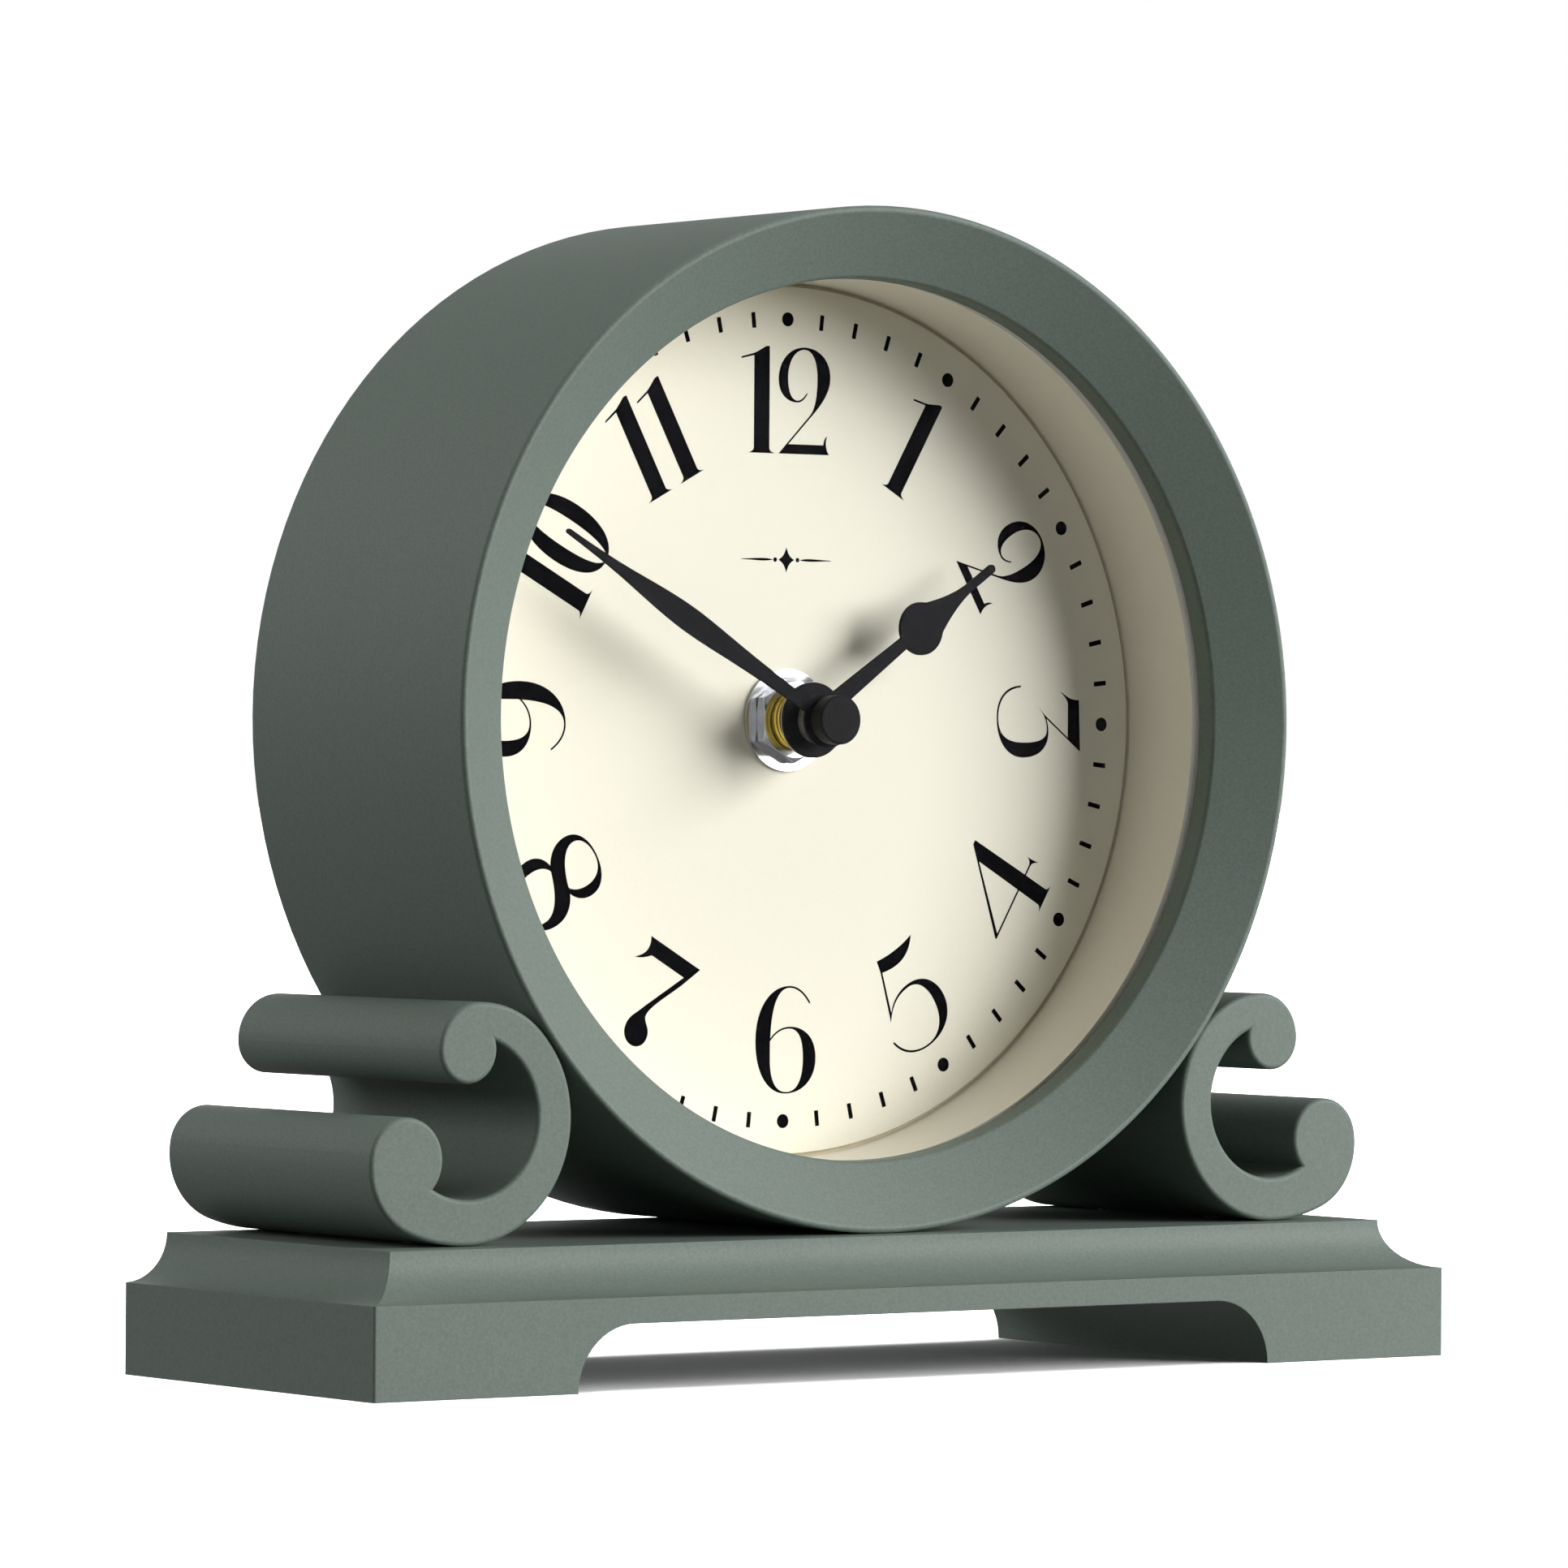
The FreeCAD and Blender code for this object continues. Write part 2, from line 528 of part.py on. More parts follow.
def make_boards():
    """Lens, sleeve, dial, backing board, pillars and back panel, all bored or seated in the case."""
    hole = cell("bush_radius") + cell("fixed_clearance")
    lens = cylinder("lens", SEAT_RADIUS, LENS_BACK, LENS_FRONT)
    place(lens, y=DIAL_Y - LENS_BACK)
    keep(lens, "lens")
    sleeve = tube("inner_sleeve", SEAT_RADIUS, SLEEVE_RADIUS, BOARD_FRONT, LENS_BACK)
    dial = tube("dial_plate", DIAL_RADIUS, hole, BOARD_FRONT, ZERO)
    board = tube("backing_board", SEAT_RADIUS, hole, BOARD_BACK, BOARD_FRONT)
    screw = cell("screw_radius") + cell("fixed_clearance")
    head = cell("screw_head_radius") + cell("fixed_clearance")
    tools = [box("panel_window", (-WINDOW_HALF, WINDOW_LOW, PANEL_BACK - 1),
                 (WINDOW_HALF, WINDOW_HIGH, PANEL_FRONT + 1))]
    pillars = []
    screws = []
    reach = PILLAR_RING / root(as_size(2))
    head_front = PANEL_BACK + cell("screw_head_thick")
    tip = PANEL_BACK + cell("panel_screw_length")
    for number, (across, up) in enumerate(((1, 1), (-1, 1), (-1, -1), (1, -1))):
        x = reach * across
        y = reach * up
        tools.append(cylinder("panel_hole%d" % number, screw, PANEL_BACK - 1, PANEL_FRONT + 1, x, y))
        tools.append(cylinder("panel_sink%d" % number, head, PANEL_BACK - 1, head_front, x, y))
        post = cylinder("post%d" % number, cell("pillar_radius"), PANEL_FRONT, BOARD_BACK, x, y)
        pilot = cylinder("pilot%d" % number, screw, PANEL_FRONT, tip + cell("fixed_clearance"), x, y)
        pillars.append(cut("pillar%d" % number, post, pilot))
        shank = cylinder("panel_shank%d" % number, cell("screw_radius"), PANEL_BACK, tip, x, y)
        cap = cylinder("panel_head%d" % number, cell("screw_head_radius"), PANEL_BACK, head_front, x, y)
        screws.append(joined("panel_screw%d" % number, [shank, cap]))
    blank = cylinder("panel_blank", SEAT_RADIUS, PANEL_BACK, PANEL_FRONT)
    panel = bored("back_panel", blank, tools)
    for thing in (sleeve, dial, board, panel):
        place(thing)
        keep(thing, thing.Name)
    for name, things in (("panel_pillars", pillars), ("panel_screws", screws)):
        group = grouped(name, things)
        place(group)
        keep(group, name)


def make_plinth_screws():
    """Screws up through the plinth, headed in the arch and in the feet."""
    screws = []
    seat = cell("arch_rise")
    for number, (x, y) in enumerate(plinth_screw_places()):
        tip = cell("plinth_rise") + cell("glue_gap") + cell("screw_bite")
        shank = cylinder("plinth_shank%d" % number, cell("screw_radius"), seat, tip, x, y)
        head = cylinder("plinth_head%d" % number, cell("screw_head_radius"), seat,
                        seat + cell("screw_head_thick"), x, y)
        screws.append(joined("plinth_screw%d" % number, [shank, head]))
    keep(grouped("plinth_screws", screws), "plinth_screws")


def make_fixing():
    """The bush that carries the movement, with its rubber washer, steel washer and hex nut."""
    bush = body("threaded_bush")
    inner = cell("tube_radius") + cell("running_clearance")
    outer = cell("bush_radius")
    washer_front = cell("washer_thick")
    nut_front = washer_front + cell("nut_thick")
    rootline = outer - cell("thread_rise")
    corners = [(inner, MOVEMENT_INSIDE), (outer, MOVEMENT_INSIDE), (outer, nut_front)]
    threads = int((cell("bush_front") - cell("thread_rise") - nut_front).number / SIZES["thread_pitch"])
    for turn in range(threads):
        low = nut_front + cell("thread_pitch") * (turn + 0.5)
        corners += [(rootline, low), (outer, low + cell("thread_pitch") / 2)]
    corners += [(outer, cell("bush_front") - cell("thread_rise")), (rootline, cell("bush_front")),
                (inner, cell("bush_front"))]
    turned(bush, corners)
    place(bush)
    keep(bush, "threaded_bush")
    hole = outer + cell("fixed_clearance")
    rubber = tube("rubber_washer", cell("rubber_radius"), hole, MOVEMENT_FRONT, BOARD_BACK)
    washer = tube("steel_washer", cell("washer_radius"), hole, ZERO, washer_front)
    for thing in (rubber, washer):
        place(thing)
        keep(thing, thing.Name)
    prism = hexagon("nut_prism", cell("nut_flats"), washer_front, nut_front)
    crown = body("nut_crown")
    corner = cell("nut_flats") / math.sqrt(3)
    face = cell("nut_flats") / 2
    chamfer = cell("nut_chamfer")
    turned(crown, [(ZERO, washer_front), (face, washer_front), (corner, washer_front + chamfer),
                   (corner, nut_front - chamfer), (face, nut_front), (ZERO, nut_front)])
    blank = doc.addObject("Part::Common", "nut_blank")
    blank.Base = prism
    blank.Tool = crown
    nut = cut("hex_nut", blank, cylinder("nut_bore", hole, washer_front - 1, nut_front + 1))
    place(nut)
    keep(nut, "hex_nut")


def hexagon(name, flats, low, high):
    """A six-sided prism with a corner at the top."""
    thing = doc.addObject("Part::Prism", name)
    thing.Polygon = 6
    thing.setExpression("Circumradius", (flats / math.sqrt(3)).text)
    thing.setExpression("Height", (high - low).text)
    thing.Placement = FreeCAD.Placement(FreeCAD.Vector(0, 0, low.number),
                                        FreeCAD.Rotation(FreeCAD.Vector(0, 0, 1), 30))
    return move(thing, ZERO, ZERO, low)


def spline(sketch, points):
    curve = Part.BSplineCurve()
    curve.interpolate([FreeCAD.Vector(x, y, 0) for x, y in points])
    sketch.addGeometry(curve, False)


def line(sketch, start, end):
    sketch.addGeometry(Part.LineSegment(FreeCAD.Vector(*start, 0), FreeCAD.Vector(*end, 0)), False)


def half_turn(sketch, height, radius):
    curve = Part.Circle(FreeCAD.Vector(0, height, 0), FreeCAD.Vector(0, 0, 1), radius)
    sketch.addGeometry(Part.ArcOfCircle(curve, 0, math.pi), False)


def hour_blade(sketch):
    """A tapered stem, a round bulb and a concave run to a slim rounded tip."""
    length = SIZES["hour_length"]
    base = SIZES["hour_root_half"]
    stem = SIZES["hour_stem_half"]
    bulb = SIZES["hour_bulb"]
    neck = SIZES["hour_neck_half"]
    tip = SIZES["hour_tip_half"]
    bulb_at = length * SIZES["hour_bulb_share"]
    tip_from = length * SIZES["hour_tip_share"]
    below = math.sqrt(bulb ** 2 - stem ** 2)
    above = math.sqrt(bulb ** 2 - neck ** 2)
    taper = [(neck, bulb_at + above)]
    taper += [(half, length * height) for half, height in HOUR_TAPER]
    taper.append((tip, tip_from))
    for side in (1, -1):
        line(sketch, (base * side, 0), (stem * side, bulb_at - below))
        start = math.atan2(-below, stem)
        end = math.atan2(above, neck)
        if side < 0:
            start, end = math.pi - end, math.pi - start
        ring = Part.Circle(FreeCAD.Vector(0, bulb_at, 0), FreeCAD.Vector(0, 0, 1), bulb)
        sketch.addGeometry(Part.ArcOfCircle(ring, start, end), False)
        spline(sketch, [(x * side, y) for x, y in taper])
        line(sketch, (tip * side, tip_from), (tip * side, length - tip))
    half_turn(sketch, length - tip, tip)
    line(sketch, (-base, 0), (base, 0))


def minute_blade(sketch):
    """A long leaf, widest just past the middle."""
    length = SIZES["minute_length"]
    base = SIZES["minute_root_half"]
    tip = SIZES["minute_tip_half"]
    leaf = [(base, 0)] + [(half, length * height) for half, height in MINUTE_LEAF]
    leaf.append((tip, length - tip))
    for side in (1, -1):
        spline(sketch, [(x * side, y) for x, y in leaf])
    half_turn(sketch, length - tip, tip)
    line(sketch, (-base, 0), (base, 0))


def make_hand(node, blade, ring, bore, front, angle):
    """A flat hand pointing up, turned clockwise to its rest angle by its placement."""
    hand = body(node)
    back = front - cell("hand_thick")
    eye = sketch_on(hand, node + "_eye", "XY_Plane", back)
    circle(eye, ZERO, ZERO, ring)
    pad(hand, eye, cell("hand_thick"))
    outline = sketch_on(hand, node + "_blade", "XY_Plane", back)
    blade(outline)
    pad(hand, outline, cell("hand_thick"))
    hole = sketch_on(hand, node + "_hole", "XY_Plane", back)
    circle(hole, ZERO, ZERO, bore)
    pocket(hand, hole)
    spin = FreeCAD.Rotation(FreeCAD.Vector(0, 0, 1), -angle)
    place(hand, rotation=FACING_FRONT.multiply(spin))
    return keep(hand, node)


def make_hands():
    """Both hands, the collets that hold them and the cap nut."""
    tube_out = cell("tube_radius") + cell("fixed_clearance")
    neck = tube_out + cell("collet_wall")
    hour_front = cell("hour_hand_front")
    hour_back = hour_front - cell("hand_thick")
    hex_front = hour_front + cell("hex_thick")
    make_hand("hour_hand", hour_blade, cell("hour_ring"), neck + cell("fixed_clearance"),
              hour_front, SIZES["hour_angle"])
    flange_back = cell("bush_front") + cell("stack_gap")
    flange = cylinder("hour_flange", cell("collet_flange"), flange_back, hour_back)
    sleeve = cylinder("hour_neck", neck, hour_back, hour_front)
    rivet = hexagon("hour_hex", cell("hex_flats"), hour_front, hex_front)
    core = joined("hour_collet_blank", [flange, sleeve, rivet])
    collet = cut("hour_hand_collet", core, cylinder("hour_collet_bore", tube_out, ZERO, hex_front + 1))
    arbor = cell("arbor_radius") + cell("fixed_clearance")
    minute_front = cell("minute_hand_front")
    minute_back = minute_front - cell("hand_thick")
    make_hand("minute_hand", minute_blade, cell("minute_ring"), arbor, minute_front,
              SIZES["minute_angle"])
    minute_collet = tube("minute_hand_collet", cell("minute_collet_radius"), arbor,
                         hex_front + cell("stack_gap"), minute_back)
    for thing in (collet, minute_collet):
        place(thing)
        keep(thing, thing.Name)
    cap = body("cap_nut")
    neck_front = minute_front + cell("cap_neck")
    bore_end = minute_front + cell("cap_bite")
    turned(cap, [(arbor, minute_front), (cell("cap_neck_radius"), minute_front),
                 (cell("cap_neck_radius"), neck_front), (cell("cap_radius"), neck_front),
                 (cell("cap_radius"), cell("cap_front")), (ZERO, cell("cap_front")),
                 (ZERO, bore_end), (arbor, bore_end)])
    rounded(cap, cell("cap_edge_round"), ring_edge(cell("cap_radius"), cell("cap_front")))
    place(cap)
    keep(cap, "cap_nut")


def gear_face(teeth, module, phase):
    """A toothed disc's outline: involute flanks, short tips and slack for a free mesh."""
    pitch = teeth * module / 2
    base = pitch * math.cos(math.radians(PRESSURE_ANGLE))
    tip = pitch + TOOTH_TIP * module
    foot = pitch - TOOTH_FOOT * module
    slack = TOOTH_SLACK * module / pitch
    at_pitch = math.sqrt((pitch / base) ** 2 - 1)
    pitch_spread = at_pitch - math.atan(at_pitch)
    half = math.pi / teeth / 2 - slack / 2
    flank = []
    for step in range(FLANK_STEPS + 1):
        radius = max(base, foot) + (tip - max(base, foot)) * step / FLANK_STEPS
        roll = math.sqrt(max((radius / base) ** 2 - 1, 0))
        flank.append((radius, half + pitch_spread - (roll - math.atan(roll))))
    flank.insert(0, (foot, flank[0][1]))
    points = []
    for tooth in range(teeth):
        middle = math.radians(phase) + 2 * math.pi * tooth / teeth
        outline = [(r, middle - a) for r, a in flank] + [(r, middle + a) for r, a in reversed(flank)]
        points += [FreeCAD.Vector(r * math.cos(a), r * math.sin(a), 0) for r, a in outline]
    return Part.Face(Part.makePolygon(points + points[:1]))


def toothed(teeth, module, phase, low, high):
    """A toothed disc between two heights."""
    solid = gear_face(TEETH[teeth], module.number, phase).extrude(
        FreeCAD.Vector(0, 0, high.number - low.number))
    solid.translate(FreeCAD.Vector(0, 0, low.number))
    return solid


def rod(radius, low, high):
    return Part.makeCylinder(radius.number, high.number - low.number, FreeCAD.Vector(0, 0, low.number))


def in_mesh(phase, driver, driven, degrees):
    """The driven wheel's phase that puts a gap opposite the driver's tooth across the line of arbors."""
    along = (degrees - phase) * TEETH[driver] / 360
    return degrees + 180 + (along - 0.5) * 360 / TEETH[driven]


# Levels inside the movement, each wheel a train gap behind the one before it.
HOUR_FRONT = MOVEMENT_INSIDE - cell("train_gap")
HOUR_BACK = HOUR_FRONT - cell("wheel_thick")
MINUTE_FRONT = HOUR_BACK - cell("train_gap")
MINUTE_BACK = MINUTE_FRONT - cell("wheel_thick")
CENTRE_FRONT = MINUTE_BACK - cell("train_gap") * 2
CENTRE_BACK = CENTRE_FRONT - cell("wheel_thick")
THIRD_FRONT = CENTRE_BACK - cell("train_gap")
THIRD_BACK = THIRD_FRONT - cell("thin_wheel")
STEP_FRONT = THIRD_BACK - cell("train_gap") * 2
STEP_BACK = STEP_FRONT - cell("thin_wheel")
PIVOT_FRONT = MOVEMENT_INSIDE + cell("pivot_bite")
PIVOT_BACK = COVER_FRONT - cell("pivot_bite")
MAGNET_FRONT = MINUTE_BACK - cell("train_gap")
MAGNET_BACK = MAGNET_FRONT - cell("magnet_thick")


def wheel_part(node, solids, place_at, bore=None):
    """A wheel and what turns with it, fused into one solid on its arbor's place."""
    shape = solids[0]
    for solid in solids[1:]:
        shape = shape.fuse(solid)
    if bore is not None:
        shape = shape.cut(bore)
    wheel = doc.addObject("Part::Feature", node)
    wheel.Shape = shape.removeSplitter()
    place(wheel, place_at[0], DIAL_Y, DIAL_Z + place_at[1])
    return keep(wheel, node)


def make_motion_works():
    """The 12 to 1 reduction from the minute arbor to the hour wheel, and the setting knob."""
    cannon_phase = MINUTE_DIRECTION
    minute_phase = in_mesh(cannon_phase, "cannon", "minute", MINUTE_DIRECTION)
    pinion_phase = MINUTE_DIRECTION + 180
    hour_phase = in_mesh(pinion_phase, "minute_pinion", "hour", MINUTE_DIRECTION + 180)
    knob_phase = in_mesh(minute_phase, "minute", "knob", KNOB_DIRECTION)
    minute_top = cell("minute_hand_front") + cell("cap_bite") - cell("stack_gap")
    wheel_part("minute_arbor", [rod(cell("arbor_radius"), COVER_FRONT + cell("train_gap"), minute_top),
                                rod(cell("pivot_radius"), PIVOT_BACK, MINUTE_BACK),
                                toothed("cannon", MOTION, cannon_phase, MINUTE_BACK, MINUTE_FRONT)],
               CENTRE_AT)
    tube_bore = cell("arbor_radius") + cell("running_clearance")
    tube_front = cell("hour_hand_front") + cell("hex_thick") / 2
    wheel_part("hour_wheel", [toothed("hour", MOTION, hour_phase, HOUR_BACK, HOUR_FRONT),
                              rod(cell("tube_radius"), HOUR_BACK, tube_front)],
               CENTRE_AT, rod(tube_bore, HOUR_BACK - 1, tube_front + 1))
    wheel_part("minute_wheel", [toothed("minute", MOTION, minute_phase, MINUTE_BACK, MINUTE_FRONT),
                                toothed("minute_pinion", MOTION, pinion_phase, MINUTE_FRONT, HOUR_FRONT),
                                rod(cell("pivot_radius"), PIVOT_BACK, PIVOT_FRONT)], MINUTE_AT)
    knob_front = COVER_BACK - cell("knob_gap")
    wheel_part("setting_knob", [toothed("knob", MOTION, knob_phase, MINUTE_BACK, MINUTE_FRONT),
                                rod(cell("pivot_radius"), MINUTE_FRONT, PIVOT_FRONT),
                                rod(cell("knob_shaft_radius"), knob_front, MINUTE_BACK),
                                rod(cell("knob_radius"), knob_front - cell("knob_thick"), knob_front)],
               KNOB_AT)


def make_going_train():
    """Rotor, step wheel and third wheel, and the centre wheel that grips the minute arbor."""
    third_phase = THIRD_DIRECTION + 180
    centre_phase = in_mesh(third_phase, "third_pinion", "centre", THIRD_DIRECTION + 180)
    wheel_phase = STEP_DIRECTION
    pinion_phase = in_mesh(wheel_phase, "third", "step_pinion", STEP_DIRECTION)
    step_phase = ROTOR_DIRECTION
    rotor_phase = in_mesh(step_phase, "step", "rotor", ROTOR_DIRECTION)
    pivot = rod(cell("pivot_radius"), PIVOT_BACK, PIVOT_FRONT)
    bore = rod(cell("arbor_radius") + cell("running_clearance"), CENTRE_BACK - 1, CENTRE_FRONT + 1)
    wheel_part("centre_wheel", [toothed("centre", CENTRE_MODULE, centre_phase, CENTRE_BACK,
                                        CENTRE_FRONT)], CENTRE_AT, bore)
    wheel_part("third_wheel", [toothed("third_pinion", CENTRE_MODULE, third_phase, THIRD_FRONT,
                                       CENTRE_FRONT),
                               toothed("third", cell("third_module"), wheel_phase, THIRD_BACK,
                                       THIRD_FRONT), pivot], THIRD_AT)
    wheel_part("step_wheel", [toothed("step_pinion", cell("third_module"), pinion_phase, STEP_FRONT,
                                      THIRD_FRONT),
                              toothed("step", cell("step_module"), step_phase, STEP_BACK, STEP_FRONT),
                              pivot], STEP_AT)
    wheel_part("rotor", [toothed("rotor", cell("step_module"), rotor_phase, STEP_BACK, STEP_FRONT),
                         rod(cell("magnet_radius"), MAGNET_BACK, MAGNET_FRONT), pivot], ROTOR_AT)


def make_electrics():
    """Stator, coil, circuit board, quartz can, battery contacts and the cell."""
    magnet_x, magnet_y = ROTOR_AT
    gap = cell("glue_gap")
    plate_back = (MAGNET_FRONT + MAGNET_BACK) / 2 - cell("stator_thick") / 2
    plate_front = plate_back + cell("stator_thick")
    coil_half = cell("coil_length") / 2
    coil_x = magnet_x + coil_half / 2
    eye = cell("magnet_radius") + cell("air_gap")
    left = coil_x - coil_half - cell("flange_thick") - gap
    right = coil_x + coil_half + cell("flange_thick") + gap
    arm = cell("stator_arm")
    rim = COIL_RIM
    coil_y = MOVEMENT_ROOF - rim - gap
    low = magnet_y - eye - cell("stator_thick") / 2
    high = coil_y - rim - gap
    plate = joined("stator_blank", [
        box("stator_plate", (left - arm, low, plate_back), (right + arm, high, plate_front)),
        box("stator_arm_left", (left - arm, low, plate_back), (left, coil_y, plate_front)),
        box("stator_arm_right", (right, low, plate_back), (right + arm, coil_y, plate_front))])
    hole = cylinder("stator_eye", eye, plate_back - 1, plate_front + 1, magnet_x, magnet_y)
    stator = cut("stator", plate, hole)
    coil_z = (plate_front + plate_back) / 2
    flange = MOVEMENT_INSIDE - coil_z
    ends = [box("coil_end%d" % side, (start, coil_y - rim, coil_z - flange),
                (start + cell("flange_thick"), coil_y + rim, MOVEMENT_INSIDE))
            for side, start in enumerate((left + gap, right - gap - cell("flange_thick")))]
    winding = doc.addObject("Part::Cylinder", "coil_winding")
    winding.setExpression("Radius", cell("coil_radius").text)
    winding.setExpression("Height", cell("coil_length").text)
    winding.Placement.Rotation = FreeCAD.Rotation(FreeCAD.Vector(0, 1, 0), 90)
    move(winding, coil_x - coil_half, coil_y, coil_z)
    coil = joined("coil", ends + [winding])
    board_right = MOVEMENT_INNER_HALF - gap
    board_low = BAY_TOP + cell("movement_wall") + cell("train_gap")
    board_back = MOVEMENT_INSIDE - cell("stator_thick")
    circuit = box("circuit_board", (board_right - cell("board_width"), board_low, board_back),
                  (board_right, board_low + cell("board_height"), MOVEMENT_INSIDE))
    can = doc.addObject("Part::Cylinder", "quartz_can")
    can.setExpression("Radius", cell("can_radius").text)
    can.setExpression("Height", cell("can_length").text)
    for thing, node in ((stator, "stator"), (coil, "coil")):
        place(thing)
        keep(thing, node)
    place(circuit, board_right - cell("board_width"), DIAL_Y - board_back, DIAL_Z + board_low)
    keep(circuit, "circuit_board")
    sideways = FreeCAD.Rotation(FreeCAD.Vector(0, 1, 0), 90)
    can_left = board_right - (cell("board_width") + cell("can_length")) / 2
    place(can, can_left, DIAL_Y - board_back + cell("can_radius"),
          DIAL_Z + board_low + cell("board_height") / 2, sideways)
    keep(can, "quartz_can")
    make_cell(sideways)


def make_cell(sideways):
    """The AA cell across the bay, between its two sprung plates."""
    middle = (BAY_LOW + BAY_TOP) / 2
    depth = MOVEMENT_INSIDE - cell("cell_radius") - cell("stack_gap")
    half = cell("cell_length") / 2
    can = cylinder("cell_can", cell("cell_radius"), -half, half)
    nub = cylinder("cell_nub", cell("cell_nub_radius"), half, half + cell("cell_nub"))
    battery = joined("battery_cell", [can, nub])
    place(battery, ZERO, DIAL_Y - depth, DIAL_Z + middle, sideways)
    keep(battery, "battery_cell")
    reach = cell("contact_size") / 2
    for node, side, bulge in (("positive_contact", 1, cell("contact_rise") - cell("cell_nub")),
                              ("negative_contact", -1, cell("contact_rise"))):
        plate = box(node + "_plate", (-reach, -reach, ZERO), (reach, reach, cell("contact_thick")))
        tongue = cylinder(node + "_tongue", cell("cell_nub_radius"), cell("contact_thick"),
                          cell("contact_thick") + bulge)
        contact = joined(node, [plate, tongue])
        turn = FreeCAD.Rotation(FreeCAD.Vector(0, 1, 0), -90 * side)
        place(contact, MOVEMENT_INNER_HALF * side, DIAL_Y - depth, DIAL_Z + middle, turn)
        keep(contact, node)


def make_housing():
    """A square shell with a battery bay open to the back, and a cover over the wheels."""
    half = MOVEMENT_HALF
    inner = MOVEMENT_INNER_HALF
    bay_wall = BAY_TOP + cell("movement_wall")
    shell = box("housing_block", (-half, MOVEMENT_LOW, COVER_FRONT), (half, MOVEMENT_HIGH, MOVEMENT_FRONT))
    tools = [box("housing_bay", (-inner, BAY_LOW, COVER_FRONT - 1), (inner, BAY_TOP, MOVEMENT_INSIDE)),
             box("housing_room", (-inner, bay_wall, COVER_FRONT - 1),
                 (inner, MOVEMENT_ROOF, MOVEMENT_INSIDE)),
             cylinder("housing_boss_hole", cell("bush_radius") + cell("fixed_clearance"),
                      MOVEMENT_INSIDE - 1, MOVEMENT_FRONT + 1)]
    pivot = cell("pivot_radius") + cell("running_clearance")
    for number, (x, y) in enumerate(PIVOTS):
        tools.append(cylinder("front_pivot%d" % number, pivot, MOVEMENT_INSIDE - 1,
                              PIVOT_FRONT + cell("running_clearance"), x, y))
    housing = bored("movement_housing", shell, tools)
    plate = box("cover_plate", (-half, BAY_TOP, COVER_BACK), (half, MOVEMENT_HIGH, COVER_FRONT))
    shaft = cell("knob_shaft_radius") + cell("running_clearance")
    holes = [cylinder("cover_shaft_hole", shaft, COVER_BACK - 1, COVER_FRONT + 1, *KNOB_AT)]
    for number, (x, y) in enumerate((CENTRE_AT, MINUTE_AT, THIRD_AT, STEP_AT, ROTOR_AT)):
        holes.append(cylinder("cover_pivot%d" % number, pivot, PIVOT_BACK - cell("running_clearance"),
                              COVER_FRONT + 1, x, y))
    cover = bored("movement_cover", plate, holes)
    for thing in (housing, cover):
        place(thing)
        keep(thing, thing.Name)


make_plinth()
make_scrolls()
make_case()
make_boards()
make_plinth_screws()
make_fixing()
make_hands()
make_motion_works()
make_going_train()
make_electrics()
make_housing()
doc.recompute()

for thing in doc.Objects:
    if "Invalid" in thing.State or "Error" in thing.State:
        raise RuntimeError("%s did not build: %s" % (thing.Label, thing.State))
for node in NODES:
    if node.Shape.isNull() or not node.Shape.isValid():
        raise RuntimeError("%s has no valid shape" % node.Label)
os.makedirs("parts", exist_ok=True)
for node in NODES:
    node.Shape.exportStep("parts/%s.step" % node.Label)
print("%d nodes written" % len(NODES))
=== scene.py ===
"""Looks of a round drum mantel clock between two scrolls on a coved plinth.

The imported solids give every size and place. This script prints the dial, cuts the screw slots, adds the
moulded marks of the movement, dresses every piece in its own finish, and sets a plain white studio.
"""
import logging
import math
from dataclasses import dataclass, field
from enum import Enum
from typing import Sequence, Union

import bmesh
import bpy
from mathutils import Matrix, Vector


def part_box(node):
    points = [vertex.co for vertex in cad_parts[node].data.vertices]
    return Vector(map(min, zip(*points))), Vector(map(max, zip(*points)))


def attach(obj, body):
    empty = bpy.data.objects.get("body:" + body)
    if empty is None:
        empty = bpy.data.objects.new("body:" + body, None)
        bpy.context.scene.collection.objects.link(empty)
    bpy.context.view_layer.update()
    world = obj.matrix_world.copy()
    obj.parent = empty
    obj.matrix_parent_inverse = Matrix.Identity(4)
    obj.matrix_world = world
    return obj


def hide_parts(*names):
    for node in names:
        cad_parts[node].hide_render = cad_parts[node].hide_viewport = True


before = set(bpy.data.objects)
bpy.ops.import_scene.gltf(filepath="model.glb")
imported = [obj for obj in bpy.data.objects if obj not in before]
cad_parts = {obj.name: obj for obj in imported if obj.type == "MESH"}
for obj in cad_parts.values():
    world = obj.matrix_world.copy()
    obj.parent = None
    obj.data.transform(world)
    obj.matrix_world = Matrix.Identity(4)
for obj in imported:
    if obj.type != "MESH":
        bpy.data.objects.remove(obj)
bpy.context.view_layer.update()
MM = 0.001
LOG = logging.getLogger("mantel_clock")

Step = tuple[float, ...]
Contour = tuple[Step, ...]
Tree = bpy.types.NodeTree
Socket = bpy.types.NodeSocket
Value = Union[float, str, Sequence[float], Socket]

# Blender's wave texture draws this many waves in each unit of its scale.
WAVES = 20


# ---------------------------------------------------------------- colour, nodes and finishes

def linear(hex_colour: str, alpha: float = 1.0) -> tuple[float, float, float, float]:
    """Turns an sRGB hex colour to linear light.

    Args:
        hex_colour: The colour as "#RRGGBB".
        alpha: How much of the surface is there, from 0 to 1.

    Returns:
        Red, green, blue and alpha in linear light.
    """
    channels = [int(hex_colour[at:at + 2], 16) / 255 for at in (1, 3, 5)]
    red, green, blue = (c / 12.92 if c <= 0.04045 else ((c + 0.055) / 1.055) ** 2.4 for c in channels)
    return (red, green, blue, alpha)


